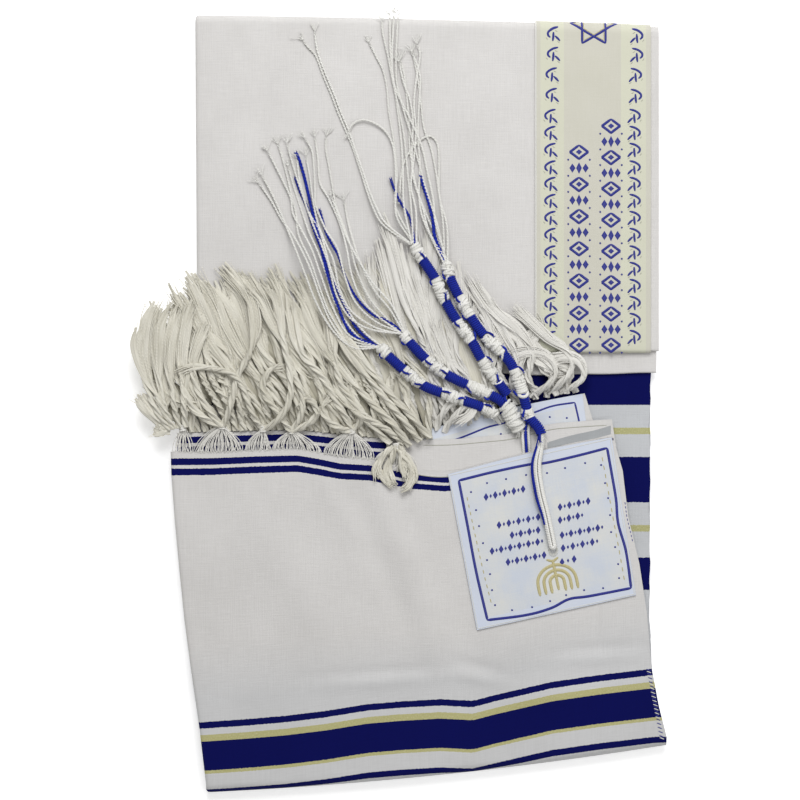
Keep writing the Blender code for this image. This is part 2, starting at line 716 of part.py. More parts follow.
def strand_routes(name):
    """The route of each of a tzitzit's eight strands, from left to right as they leave it."""
    routes = []
    if name == "tzitzit_a":
        routes += [[(r.x + (lane - 0.5) * r.spacing, r.y, r.z) for r in STRAY_PAIR] for lane in range(2)]
        routes += [[(r.x, r.y, r.z) for r in LEFT_HOOK]]
        lanes = range(0, 5)
    elif name == "tzitzit_b":
        lanes = range(5, 12)
    if name in ("tzitzit_a", "tzitzit_b"):
        centre_lane = (LONG_BUNDLE_LANES - 1) / 2
        for lane in lanes:
            ends = 2.0 * uneven(lane, 5)
            routes.append([(r.x + (lane - centre_lane) * r.spacing, r.y + (ends if r.y > 230 else 0), r.z)
                           for r in LONG_BUNDLE])
        if name == "tzitzit_b":
            routes.append([(r.x, r.y, r.z) for r in RIGHT_HOOK])
        return routes
    start = TZITZIT[name][0]
    for strand in range(8):
        lane = strand + (8 if name == "tzitzit_c" else 0)
        tip = lerp(np.array(FAN_TIPS[0]), np.array(FAN_TIPS[1]), lane / (FAN_LANES - 1))
        tip[1] += 7 * uneven(lane, 9)
        side = (strand - 3.5) * 1.7
        near = np.array([start.x - 9 + side * 0.5, start.y + 8 + side * 0.86])
        route = [(*near, FAN_HEIGHT)]
        for share in (0.3, 0.55, 0.8, 1.0):
            x, y = lerp(near, tip, share)
            x -= 5 * math.sin(math.pi * share)
            low, high = FAN_DESCENT
            z = lerp(FAN_HEIGHT, STRAND_HEIGHT, smoothstep((y - low) / (high - low)))
            route.append((x, y, z))
        routes.append(route)
    return routes


def tzitzit(name):
    shell = Shell()
    centres, radii, flats = tube_rings(TZITZIT[name])
    tangents = np.gradient(centres, axis=0)
    rings = []
    for centre, tangent, radius, flat in zip(centres, tangents, radii, flats):
        tangent = tangent / np.linalg.norm(tangent)
        side = np.cross(tangent, UP)
        side /= np.linalg.norm(side)
        above = np.cross(side, tangent)
        ring = []
        for number in range(TUBE_SIDES):
            angle = math.radians(225 + 360 * number / TUBE_SIDES)
            ring.append(centre + side * radius * math.cos(angle) + above * radius * flat * math.sin(angle))
        rings.append(shell.add(ring))
    for first, second in zip(rings, rings[1:]):
        shell.bridge(first, second)
    shell.cap(rings[0][::-1])
    # The end that the strands leave is a grid of three by three cells. Every cell but the middle one
    # carries a strand.
    rim = rings[-1]
    order = [(0, 0), (1, 0), (2, 0), (3, 0), (3, 1), (3, 2), (3, 3), (2, 3), (1, 3), (0, 3), (0, 2), (0, 1)]
    grid = dict(zip(order, rim))
    corners = [np.array(shell.points[grid[place]]) for place in ((0, 0), (3, 0), (3, 3), (0, 3))]
    for across in (1, 2):
        for up in (1, 2):
            low = lerp(corners[0], corners[1], across / 3)
            high = lerp(corners[3], corners[2], across / 3)
            grid[across, up] = shell.add([lerp(low, high, up / 3)])[0]
    cells = [(0, 0), (0, 1), (0, 2), (1, 0), (1, 2), (2, 0), (2, 1), (2, 2)]
    centre_cell = [grid[1, 1], grid[2, 1], grid[2, 2], grid[1, 2]]
    shell.cap(centre_cell)
    for (across, up), route in zip(cells, strand_routes(name)):
        ring = [grid[across, up], grid[across + 1, up], grid[across + 1, up + 1], grid[across, up + 1]]
        start = np.mean([shell.points[index] for index in ring], axis=0)
        ahead = start + tangents[-1] / np.linalg.norm(tangents[-1]) * 3
        shares = np.linspace(0, 1, 4 + round(1.3 * len(route)))[1:]
        path = smooth_curve([start, ahead] + route, shares)
        headings = np.gradient(path, axis=0)
        for number, (place, heading) in enumerate(zip(path, headings)):
            side = np.cross(heading, UP)
            side /= np.linalg.norm(side)
            half = STRAND_HALF * (1.25 if number == len(path) - 1 else 1.0)
            following = shell.add([place - side * half - UP * half, place + side * half - UP * half,
                                   place + side * half + UP * half, place - side * half + UP * half])
            shell.bridge(ring, following)
            ring = following
        shell.cap(ring)
    return shell.make(name, "tzitzit")


def clear_scene():
    for old in list(bpy.data.objects):
        bpy.data.objects.remove(old)


def build():
    clear_scene()
    stations = top_flap_stations()
    flap_wall("top_flap", stations, 12)
    flap_wall("bottom_flap", bottom_flap_stations(), 14)
    inner_layers()
    second_fold()
    sheet("bottom_flap_second_layer", "cloth",
          edge_grid(SECOND_EDGE, flap_side(HIDDEN_STEP, "right") - 1.0, 20),
          lambda x, y: SECOND_LAYER_BOTTOM, CLOTH)
    sheet("bottom_flap_third_layer", "cloth",
          edge_grid(THIRD_EDGE, flap_side(HIDDEN_STEP, "right") - 3.0, 20),
          lambda x, y: layer_bottom(5), CLOTH)
    atara(stations)
    sheet("corner_patch_front", "patch", patch_grid(FRONT_PATCH, 6, 6),
          lambda x, y: BOTTOM_FLAP_SURFACE + GAP + swell_height(x, y), TRIM_CLOTH)
    sheet("corner_patch_back", "patch", patch_grid(BACK_PATCH, 3, 5),
          lambda x, y: BACK_PATCH_BOTTOM, PATCH_CLOTH)
    for seed, row in enumerate(FRINGES, 1):
        fringe(*row, seed)
    for name in TZITZIT:
        tzitzit(name)


build()
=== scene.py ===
"""Looks of the folded tallit prayer shawl.

Thin cloth shells, embroidered trims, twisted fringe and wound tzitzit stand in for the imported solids. The
tables are in millimetres, in the model's own frame: X across the folded shawl, Y along it and Z up. The
scene is in metres.
"""

import math
from collections import namedtuple

import bmesh
import bpy
import numpy as np
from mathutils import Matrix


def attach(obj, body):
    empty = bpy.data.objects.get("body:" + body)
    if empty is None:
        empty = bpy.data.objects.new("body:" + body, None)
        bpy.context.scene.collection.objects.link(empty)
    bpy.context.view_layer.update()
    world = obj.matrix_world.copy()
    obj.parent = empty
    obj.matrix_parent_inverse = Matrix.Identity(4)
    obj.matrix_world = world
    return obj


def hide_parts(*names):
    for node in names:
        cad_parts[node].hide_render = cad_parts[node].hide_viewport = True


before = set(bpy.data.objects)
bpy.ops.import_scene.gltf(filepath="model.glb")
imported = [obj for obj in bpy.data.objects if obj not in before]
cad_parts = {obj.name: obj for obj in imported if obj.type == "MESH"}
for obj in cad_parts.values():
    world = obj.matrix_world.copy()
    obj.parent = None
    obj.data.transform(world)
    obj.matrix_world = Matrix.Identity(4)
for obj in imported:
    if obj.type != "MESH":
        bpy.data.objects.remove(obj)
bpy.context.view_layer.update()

MM = 0.001
PIXEL = 0.6
PICTURE_CENTRE = 400
UP = np.array([0.0, 0.0, 1.0])

# ---- Sizes shared with the solids ----
GAP = 0.3
CLOTH = 1.0
LAYER = CLOTH + GAP
PATCH_CLOTH = 0.6
TRIM_CLOTH = 0.8
TOP_SURFACE = 7 * LAYER + CLOTH
BACK_PATCH_BOTTOM = 6 * LAYER
SECOND_LAYER_BOTTOM = BACK_PATCH_BOTTOM + PATCH_CLOTH + GAP
BOTTOM_SURFACE = SECOND_LAYER_BOTTOM + LAYER + CLOTH
LIP_RADIUS = 2.3
LIP_CLEARANCE = 3.2
LIP_STEPS = 9
LAYER_SPACING = 5.5
SHARP_ANGLE = math.radians(50)

TOP_FOLD = ((-123.0, 231.6), (155.4, 224.4))
TOP_FOLD_BOW = 1.0
TOP_END = ((-121.8, 28.8), (155.4, 29.4))
SECOND_FOLD_END = 15.6
BOTTOM_FOLD = ((-116.6, -236.0), (160.0, -207.6))
BOTTOM_FOLD_BOW = -4.0
FLOOR_SEAM = -3.0
HIDDEN_STEP = -75.0
TOP_STEP = 62.0

# y, left side, right side
BASE_SIDES = np.array([
    (-222.0, -116.8, 160.0),
    (-190.0, -117.4, 157.0),
    (-165.0, -118.1, 152.0),
    (-132.0, -118.6, 150.3),
    (14.0, -121.6, 150.9),
    (228.0, -122.6, 154.8),
])
# Left x and y, right x and y, share of the ragged edge's own outline
BOTTOM_FLAP_ROWS = [
    (-137.8, -31.0, 127.8, -21.6, 1.0),
    (-137.3, -46.0, 133.6, -42.0, 0.7),
    (-135.4, -72.0, 137.0, -70.0, 0.3),
    (-132.6, -102.0, 143.6, -98.0, 0.0),
    (-129.6, -132.0, 148.2, -128.0, 0.0),
    (-125.2, -165.0, 150.8, -160.0, 0.0),
    (-120.4, -198.0, 155.4, -184.0, 0.0),
]
FRONT_EDGE = [(-136, -31), (-113, -31), (-61, -29), (-36, -33.6), (-18, -35), (7, -41), (28, -44),
              (73, -32), (128, -21.6)]
SECOND_EDGE = [(-134, -20), (-61, -18), (-18, -23), (28, -24), (72.6, -19.8), (85.8, -14.4), (127.2, -11.4)]
THIRD_EDGE = [(-133, -4), (-61, -2), (-18, -12), (9.5, -19), (47.4, -12.6), (78.6, -4.2), (111, 4.8)]

# Top edge of the narrow stripe pair on the bottom flap, and the run of cloth from the raw edge to each mark
PAIR_LINE = [(-138, -34.2), (-112.8, -34.0), (-86.4, -32.9), (-61.2, -32.3), (-48, -34.7), (-36, -37.3),
             (-18, -38.4), (7, -43.9), (28.2, -45.7), (73, -33.3), (128, -23.3)]
PAIR_RUN = 5.0
GROUP_RUN = 158.0
# Top edge of the group of stripes next to the bottom fold
GROUP_LINE = [(-123, -193.4), (-92.4, -191.3), (-69, -189.3), (-44.4, -186.3), (-19.8, -182.3), (0, -180.6),
              (24, -179.2), (43.8, -180.2), (57, -176.7), (91.2, -168.8), (120, -164.7), (153, -160.8)]
BASE_RUN = 422.9
# Least run on the floor below the top fold, and where the run of the plain cloth starts
BASE_LEAST_RUN = 405.0
PLAIN_RUN = 600

# Broad swells shared with the solids: centre, direction of the ridge, half length, half width and height
SWELLS = [
    (-62, -112, -66, 50, 15, 1.3),
    (8, -122, -66, 42, 10, 1.0),
    (95, -176, 8, 45, 9, 0.8),
    (-100, 150, 80, 45, 12, 0.9),
    (55, 135, 88, 60, 10, 0.9),
]
# Creases, as ridges or troughs: centre, direction, half length, half width and height
CREASES = [
    (-12, -94, -66, 56, 8, -1.45),
    (4, -90, -66, 50, 8, 1.0),
    (-40, -60, -58, 22, 6, 0.64),
    (-12, -163, 4, 36, 2.2, -0.95),
    (-12, -169, 4, 32, 3.4, 1.0),
    (48, -160, -14, 14, 3.0, -1.1),
    (46, -167, -10, 16, 3.0, 0.85),
    (120, -149, 4, 26, 2.6, -1.0),
    (118, -155, 4, 24, 3.0, 0.8),
    (-95, -150, 70, 30, 5, -0.56),
    (-80, 190, 84, 34, 6, -0.64),
    (30, 190, 86, 34, 6, -0.64),
    (-60, 120, 78, 40, 7, 0.56),
]

ATARA_LEFT = 81.0
ATARA_RIGHT = 150.5
FRONT_PATCH = [(28.8, -44.6), (126.9, -22.4), (141.4, -117.0), (46.2, -138.0)]
BACK_PATCH = [(11.0, -19.4), (109.6, 3.8), (116.0, -46.0), (18.0, -68.0)]
PATCH_BOW = 1.6
RIPPLE_WAVES = 8

# ---- Curves and relief ----


def lerp(a, b, share):
    return a + (b - a) * share


def smoothstep(share):
    share = np.clip(share, 0.0, 1.0)
    return share * share * (3 - 2 * share)


def stacked(*parts):
    """Points whose parts are these grids, which may have to be spread over one another."""
    return np.stack(np.broadcast_arrays(*parts), axis=-1)


def unit(vectors, least=1e-9):
    """The same directions, with a length of one."""
    return vectors / (np.linalg.norm(vectors, axis=-1, keepdims=True) + least)


def run_along(path):
    """How far each point lies along a path."""
    return np.concatenate([[0], np.cumsum(np.linalg.norm(np.diff(path, axis=0), axis=1))])


def resampled(path, run, wanted):
    """Points of a path at the runs wanted, from the runs of its own points."""
    return np.column_stack([np.interp(wanted, run, path[:, axis]) for axis in range(path.shape[1])])


def along(table, x):
    """The y of a line of (x, y) points at this x."""
    return np.interp(x, [point[0] for point in table], [point[1] for point in table])


def rounded_edge(edge, x):
    """A raw edge's y at this x, with its corners rounded off."""
    return sum(along(edge, x + shift) for shift in (-10, -5, 0, 5, 10)) / 5


def slant(fold, bow, x):
    share = (x - fold[0][0]) / (fold[1][0] - fold[0][0])
    return lerp(fold[0][1], fold[1][1], share) + bow * 4 * share * (1 - share)


def base_side(y, side):
    return np.interp(y, BASE_SIDES[:, 0], BASE_SIDES[:, 1 if side == "left" else 2])


def flap_side(y, side):
    first = 0 if side == "left" else 2
    rows = [(row[first + 1], row[first]) for row in BOTTOM_FLAP_ROWS]
    fold = BOTTOM_FOLD[side == "right"]
    return along(sorted(rows + [(fold[1], fold[0])]), y)


def smooth_curve(points, shares):
    """Points at these shares of the length of a Catmull-Rom curve through the points given."""
    points = np.array(points, float)
    padded = np.vstack([2 * points[0] - points[1], points, 2 * points[-1] - points[-2]])
    fine = []
    share = np.linspace(0, 1, 12, endpoint=False)[:, None]
    for index in range(len(points) - 1):
        before, start, end, after = padded[index:index + 4]
        fine.append(0.5 * (
            2 * start + (end - before) * share
            + (2 * before - 5 * start + 4 * end - after) * share ** 2
            + (3 * start - before - 3 * end + after) * share ** 3
        ))
    fine = np.vstack(fine + [points[-1:]])
    run = run_along(fine)
    return resampled(fine, run, np.asarray(shares) * run[-1])


def curve_length(points):
    return float(np.linalg.norm(np.diff(np.array(points, float), axis=0), axis=1).sum())


def frames(path):
    """Directions ahead, to the side and above at each point of a path."""
    ahead = unit(np.gradient(path, axis=0), 0.0)
    side = unit(np.cross(ahead, UP))
    return ahead, side, np.cross(side, ahead)


def ridges(table, x, y):
    total = 0.0
    for centre_x, centre_y, degrees, length, width, height in table:
        angle = math.radians(degrees)
        ahead = (x - centre_x) * math.cos(angle) + (y - centre_y) * math.sin(angle)
        aside = (y - centre_y) * math.cos(angle) - (x - centre_x) * math.sin(angle)
        total = total + height * np.exp(-(ahead / length) ** 2 - (aside / width) ** 2)
    return total


def ripples(x, y, seed, wavelength, height):
    """Soft uneven relief from crossing sine waves."""
    random = np.random.default_rng(seed)
    total = 0.0
    for _ in range(RIPPLE_WAVES):
        angle, phase = random.uniform(0, math.tau, 2)
        length = wavelength * random.uniform(0.6, 1.7)
        total = total + np.sin(math.tau * (x * math.cos(angle) + y * math.sin(angle)) / length + phase)
    return height * total / math.sqrt(RIPPLE_WAVES)


def relief(x, y):
    """How far the cloth of the flaps stands above its plain height."""
    placed = ridges(SWELLS, x, y) + ridges(CREASES, x, y)
    return placed + ripples(x, y, 3, 46, 0.14) + ripples(x, y, 4, 17, 0.05)


# ---- Meshes from grids and tubes ----


class Piece:
    """Collects grids and tubes in millimetres, and turns them into one object."""

    def __init__(self):
        self.points = []
        self.faces = []
        self.corners = []
        self.looks = []
        self.count = 0

    def add(self, points):
        points = np.asarray(points, float)
        shape = points.shape[:-1]
        size = int(np.prod(shape))
        index = self.count + np.arange(size).reshape(shape)
        self.points.append(points.reshape(-1, 3))
        self.count += size
        return index

    def quads(self, index, corners, look):
        """Faces between the rows and columns of a grid of indices, with a UV for each of its places."""
        def cells(grid):
            low, high = np.s_[:-1], np.s_[1:]
            round_it = ((low, low), (low, high), (high, high), (high, low))
            return [grid[..., row, column, :] for row, column in round_it]

        faces = np.concatenate(cells(index[..., None]), axis=-1).reshape(-1, 4)
        self.faces.append(faces)
        self.corners.append(np.stack(cells(corners), axis=-2).reshape(-1, 4, 2))
        self.looks.append(np.full(len(faces), look))

    def wall(self, outer, inner, run):
        """A closed wall between two grids. run is the (across, along) place in the cloth of each point."""
        outside, inside = self.add(outer), self.add(inner)
        self.quads(outside, run, 0)
        self.quads(inside[:, ::-1], run[:, ::-1], 0)
        for joined, rims in ((np.vstack, (np.s_[:1], np.s_[-1:])), (np.hstack, (np.s_[:, :1], np.s_[:, -1:]))):
            for rim in rims:
                self.quads(joined([inside[rim], outside[rim]]), joined([run[rim], run[rim]]), 0)

    def tubes(self, paths, radii, sides, look, facing=None, first=0):
        """Round tubes along paths of shape (tubes, rings, 3). Each tube's number goes into its UV."""
        paths = np.asarray(paths, float)
        if paths.ndim == 2:
            paths = paths[None]
        count, rings = paths.shape[:2]
        ahead = unit(np.gradient(paths, axis=1))
        side = np.broadcast_to(np.array([0.13, 0.09, 1.0]) if facing is None else facing, paths.shape)
        side = unit(side - ahead * np.sum(side * ahead, axis=-1, keepdims=True))
        above = np.cross(ahead, side)
        angles = math.tau * (np.arange(sides) + 0.5) / sides
        radii = np.broadcast_to(radii, (count, rings))[..., None, None]
        points = paths[:, :, None] + radii * (side[:, :, None] * np.cos(angles)[:, None]
                                              + above[:, :, None] * np.sin(angles)[:, None])
        index = self.add(points)
        index = np.concatenate([index, index[..., :1]], axis=-1)
        steps = np.linalg.norm(np.diff(paths, axis=1), axis=-1)
        run = np.concatenate([np.zeros((count, 1)), np.cumsum(steps, axis=1)], axis=1) * MM
        number = first + np.arange(count)
        across = number[:, None] + 0.96 * np.linspace(0, 1, sides + 1)[None]
        corners = stacked(run[:, :, None], across[:, None, :])
        self.quads(index, corners, look)
        if sides == 4:
            for end, order in ((0, [3, 2, 1, 0]), (-1, [0, 1, 2, 3])):
                self.faces.append(index[:, end][:, order])
                self.corners.append(corners[:, end][:, order])
                self.looks.append(np.full(count, look))

    def make(self, name, materials, slot, replaces=()):
        mesh = bpy.data.meshes.new(name)
        points = np.vstack(self.points) * MM
        faces = np.vstack(self.faces)
        mesh.vertices.add(len(points))
        mesh.vertices.foreach_set("co", points.ravel())
        mesh.loops.add(faces.size)
        mesh.loops.foreach_set("vertex_index", faces.ravel().astype(np.int32))
        mesh.polygons.add(len(faces))
        mesh.polygons.foreach_set("loop_start", np.arange(0, faces.size, 4, dtype=np.int32))
        mesh.polygons.foreach_set("material_index", np.concatenate(self.looks).astype(np.int32))
        mesh.uv_layers.new(name="cloth").uv.foreach_set("vector", np.vstack(
            [corner.reshape(-1, 2) for corner in self.corners]).astype(np.float32).ravel())
        mesh.update(calc_edges=True)
        mesh.validate()
        shape = bmesh.new()
        shape.from_mesh(mesh)
        bmesh.ops.recalc_face_normals(shape, faces=shape.faces)
        shape.to_mesh(mesh)
        shape.free()
        for material in materials:
            mesh.materials.append(material)
        mesh.shade_smooth()
        mesh.set_sharp_from_angle(angle=SHARP_ANGLE)
        made = bpy.data.objects.new(name, mesh)
        bpy.context.collection.objects.link(made)
        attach(made, "root")
        if replaces:
            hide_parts(*replaces)
        return made


# ---- Materials ----


def linear(red, green, blue):
    """A linear colour from 0 to 255 screen values."""
    def channel(value):
        value /= 255
        return value / 12.92 if value <= 0.04045 else ((value + 0.055) / 1.055) ** 2.4
    return (channel(red), channel(green), channel(blue), 1.0)


class Look:
    """A material whose nodes are wired by calls that take sockets or plain values."""

    def __init__(self, name, **settings):
        self.material = bpy.data.materials.new(name)
        self.material.use_nodes = True
        self.tree = self.material.node_tree
        self.shader = self.tree.nodes["Principled BSDF"]
        for socket, value in settings.items():
            self.shader.inputs[socket.replace("_", " ")].default_value = value
        cloth = self.node("ShaderNodeUVMap", uv_map="cloth")
        split = self.node("ShaderNodeSeparateXYZ", {"Vector": cloth.outputs[0]})
        self.across, self.along = split.outputs[0], split.outputs[1]
        self.place = cloth.outputs[0]

    def node(self, kind, inputs=None, **settings):
        made = self.tree.nodes.new(kind)
        for name, value in settings.items():
            setattr(made, name, value)
        for name, value in (inputs or {}).items():
            self.link(value, made.inputs[name])
        return made

    def link(self, value, socket):
        if isinstance(value, bpy.types.NodeSocket):
            self.tree.links.new(value, socket)
        else:
            socket.default_value = value

    def maths(self, operation, a, b=0.0):
        return self.node("ShaderNodeMath", {0: a, 1: b}, operation=operation).outputs[0]

    def plus(self, a, b):
        return self.maths("ADD", a, b)

    def times(self, a, b):
        return self.maths("MULTIPLY", a, b)

    def mix(self, share, a, b, blend="MIX"):
        return self.node("ShaderNodeMix", {0: share, 6: a, 7: b}, data_type="RGBA", blend_type=blend).outputs[2]

    def noise(self, vector, scale, detail=2.0):
        inputs = {"Vector": vector, "Scale": scale, "Detail": detail}
        return self.node("ShaderNodeTexNoise", inputs).outputs[0]

    def streaks(self, across, along, detail=2.0):
        """Noise with its own scale in each direction of the UVs."""
        inputs = {0: self.place, 1: (across, along, 1.0)}
        stretched = self.node("ShaderNodeVectorMath", inputs, operation="MULTIPLY").outputs[0]
        return self.noise(stretched, 1.0, detail)

    def clipped(self, value, low, high):
        """0 below low, 1 above high."""
        return self.node("ShaderNodeMapRange", {0: value, 1: low, 2: high}).outputs[0]

    def ramp(self, value, stops):
        made = self.node("ShaderNodeValToRGB", {0: value})
        made.color_ramp.interpolation = "CONSTANT"
        elements = made.color_ramp.elements
        elements[0].position, elements[0].color = 0.0, stops[0][1]
        elements.remove(elements[1])
        for position, colour in stops[1:]:
            elements.new(position).color = colour
        return made.outputs[0]

    def bump(self, height, distance, strength):
        inputs = {"Height": height, "Distance": distance, "Strength": strength}
        self.link(self.node("ShaderNodeBump", inputs).outputs[0], self.shader.inputs["Normal"])

    def colour(self, value):
        self.link(value, self.shader.inputs["Base Color"])


WHITE = linear(213, 211, 209)
NAVY = linear(5, 10, 84)
GOLD = linear(186, 180, 124)
PALE_GOLD = linear(212, 208, 170)
# Grey of the painted shadow in the fold of the second layer's hem
HEM_FOLD_SHADOW = linear(176, 176, 175)
BORDER_YELLOW = linear(200, 201, 181)
MARGIN_BLUE = linear(198, 205, 220)
CLOTH_SHADOW = (0.45, 0.44, 0.42, 1)
NONE, FULL = (0, 0, 0, 1), (1, 1, 1, 1)
# Painted shade: a darker, cooler tint of the thin cloth where darker layers lie below it and show through, and
# in the shaded base under the flaps. The runs in metres over which it grows by half over the bands and again in
# the base, and the run past which there is none
PAINTED_SHADE_TINT = (0.83, 0.87, 0.92, 1.0)
SHADE_TINT_OVER_BANDS = (0.112, 0.146)
SHADE_TINT_IN_BASE = (0.200, 0.300)
SHADE_TINT_TO = 0.5

# Stripes by run of cloth from the raw edge: start, end and colour
STRIPES = [
    (5.0, 9.6, NAVY), (10.7, 15.0, NAVY),
    (158.0, 161.6, NAVY), (164.9, 168.1, GOLD), (168.1, 186.0, NAVY), (186.0, 188.5, GOLD),
    (198.5, 202.0, NAVY),
    # Painted fold shadow of the second layer's hem, used by its grey ribbon
    (250.0, 255.6, HEM_FOLD_SHADOW),
    (307.2, 327.0, NAVY), (341.8, 345.8, GOLD), (361.0, 387.7, NAVY), (401.1, 405.0, GOLD),
    (419.6, 438.0, NAVY),
]
LONGEST_RUN = 500.0
WIDEST_SATIN = 120.0
THREAD = 0.0007


def weave(look, slub=1.0):
    """The height of a plain weave, with threads of uneven thickness both ways."""
    turn = math.tau / THREAD
    warp = look.maths("SINE", look.times(look.across, turn))
    weft = look.maths("SINE", look.times(look.along, turn))
    cells = look.times(warp, weft)
    slubs = look.streaks(90.0, 1500.0)
    ribs = look.streaks(1500.0, 60.0)
    uneven = look.times(look.plus(slubs, ribs), 1.6 * slub)
    return look.plus(look.times(cells, 0.5), uneven), slubs, ribs


def striped_cloth():
    look = Look("woven_cloth", Roughness=0.9, Specular_IOR_Level=0.12)
    height, slubs, ribs = weave(look)
    fray = look.streaks(1100.0, 300.0)
    run = look.plus(look.along, look.times(look.maths("SUBTRACT", fray, 0.5), 0.0009))
    share = look.maths("DIVIDE", run, LONGEST_RUN * MM)
    colours, metal = [(0.0, WHITE)], [(0.0, NONE)]
    for start, end, colour in STRIPES:
        if colours[-1][0] == start / LONGEST_RUN:
            colours.pop()
        colours += [(start / LONGEST_RUN, colour), (end / LONGEST_RUN, WHITE)]
        if colour is GOLD:
            metal += [(start / LONGEST_RUN, FULL), (end / LONGEST_RUN, NONE)]
    stripes = look.ramp(share, colours)
    # Painted shade: the cloth is tinted darker and cooler over the bands and in the base under the flaps
    shade_over_bands = look.times(look.clipped(look.along, *SHADE_TINT_OVER_BANDS), 0.5)
    shade_in_base = look.clipped(look.along, *SHADE_TINT_IN_BASE)
    shade_tinted_runs = look.maths("LESS_THAN", look.along, SHADE_TINT_TO)
    painted_shade = look.times(look.plus(shade_over_bands, look.times(shade_in_base, 0.5)), shade_tinted_runs)
    stripes = look.mix(painted_shade, stripes, PAINTED_SHADE_TINT, "MULTIPLY")
    shading = look.plus(look.times(slubs, 0.5), look.times(ribs, 0.5))
    cloudy = look.noise(look.place, 22.0, 3.0)
    grey = look.clipped(look.plus(shading, look.times(cloudy, 0.6)), 0.45, 1.15)
    shade = look.mix(look.times(grey, 0.3), stripes, CLOTH_SHADOW, "MULTIPLY")
    glitter = look.clipped(look.streaks(3000.0, 900.0), 0.45, 0.7)
    golden = look.ramp(share, metal)
    look.colour(look.mix(look.times(golden, look.times(glitter, 0.5)), shade, PALE_GOLD))
    look.bump(height, 0.00012, 0.7)
    return look.material


def satin(name, ground, shade, bands, inside=(), clouds=0.2):
    """Close woven satin with bands across it. A band of None is plain ground. Outside the range along it
    that inside gives, it has the colour of its first band."""
    look = Look(name, Roughness=0.6, Specular_IOR_Level=0.25)
    height, slubs, ribs = weave(look, 0.5)
    cloudy = look.clipped(look.noise(look.place, 45.0, 3.0), 0.3, 0.7)
    fine = look.times(look.plus(slubs, ribs), 0.4)
    plain = look.mix(look.plus(look.times(cloudy, clouds), fine), ground, shade)
    share = look.maths("DIVIDE", look.across, WIDEST_SATIN * MM)
    banded = look.ramp(share, [(start / WIDEST_SATIN, colour or ground) for start, colour in bands])
    shown = look.ramp(share, [(start / WIDEST_SATIN, FULL if colour else NONE) for start, colour in bands])
    colour = look.mix(look.times(shown, 0.75), plain, banded)
    for low, high in inside:
        above = look.maths("GREATER_THAN", look.along, low * MM)
        below = look.maths("LESS_THAN", look.along, high * MM)
        outside = look.maths("SUBTRACT", 1.0, look.times(above, below))
        colour = look.mix(look.times(outside, 0.75), colour, bands[0][1])
    look.colour(colour)
    look.bump(height, 0.00008, 0.5)
    return look.material


def embroidery(name, colour, shade, metallic=0.0):
    """Thread laid side by side across a stroke, whose UV is (along, across)."""
    look = Look(name, Roughness=0.5, Metallic=metallic, Sheen_Weight=0.1)
    threads = look.maths("SINE", look.times(look.across, math.tau / 0.0006))
    uneven = look.streaks(1800.0, 3.0)
    look.colour(look.mix(look.clipped(look.plus(threads, uneven), -0.4, 1.4), shade, colour))
    look.bump(look.plus(threads, uneven), 0.0001, 0.6)
    return look.material


def yarn(name, colour, shade, twist, sheen=0.2):
    """Twisted yarn: its UV is (along, number + share of the way round)."""
    look = Look(name, Roughness=0.85, Sheen_Weight=sheen, Sheen_Roughness=0.4, Specular_IOR_Level=0.25)
    number = look.maths("FLOOR", look.along)
    around = look.maths("FRACT", look.along)
    phase = look.plus(look.maths("DIVIDE", look.across, twist), around)
    plies = look.maths("SINE", look.times(phase, 4 * math.pi))
    own = look.node("ShaderNodeTexWhiteNoise", {1: number}, noise_dimensions="1D").outputs[0]
    patchy = look.streaks(120.0, 1.0)
    tone = look.plus(look.times(own, 0.5), look.times(patchy, 0.5))
    tone = look.plus(tone, look.times(plies, 0.12))
    look.colour(look.mix(look.clipped(tone, 0.1, 1.0), shade, colour))
    fibres = look.streaks(900.0, 9.0)
    look.bump(look.plus(plies, fibres), 0.00012, 0.6)
    return look.material


def combed(name, colour, shade):
    """A flat bundle of parallel fibres: its UV is (along, across)."""
    look = Look(name, Roughness=0.9, Specular_IOR_Level=0.2)
    strands = look.streaks(70.0, 3200.0, 3.0)
    finer = look.streaks(160.0, 9000.0)
    own = look.streaks(25.0, 14.0)
    tone = look.plus(look.times(strands, 0.7), look.times(own, 0.5))
    look.colour(look.mix(look.clipped(tone, 0.35, 0.8), shade, colour))
    look.bump(look.plus(strands, look.times(finer, 0.4)), 0.0004, 0.7)
    return look.material


CLOTH_LOOK = striped_cloth()
ATARA_LOOK = satin("atara_satin", linear(199, 197, 187), linear(186, 184, 169),
                   [(0.0, WHITE), (0.6, None), (3.0, BORDER_YELLOW), (17.0, None), (51.5, BORDER_YELLOW),
                    (66.5, None)])
PATCH_LOOK = satin("patch_satin", linear(217, 214, 201), linear(194, 200, 210),
                   [(0.0, MARGIN_BLUE), (6.2, None), (97.0, MARGIN_BLUE)], [(6.5, 89.0)], clouds=0.7)
BLUE_THREAD = embroidery("blue_thread", linear(28, 40, 148), linear(14, 20, 100))
GOLD_THREAD = embroidery("gold_thread", linear(204, 196, 150), linear(160, 148, 100), 0.15)
SHADOW_THREAD = embroidery("shadow_thread", linear(172, 172, 158), linear(156, 156, 142))
WHITE_THREAD = embroidery("white_thread", linear(226, 226, 222), linear(190, 190, 184))
FRINGE_YARN = yarn("fringe_yarn", linear(227, 224, 213), linear(194, 190, 175), 0.004)
FRINGE_BODY = combed("fringe_combed", linear(226, 223, 212), linear(184, 180, 164))
PALE_YARN = yarn("fringe_pale_yarn", linear(230, 228, 223), linear(205, 203, 196), 0.004)
PALE_BODY = combed("fringe_pale_combed", linear(228, 226, 221), linear(198, 196, 188))
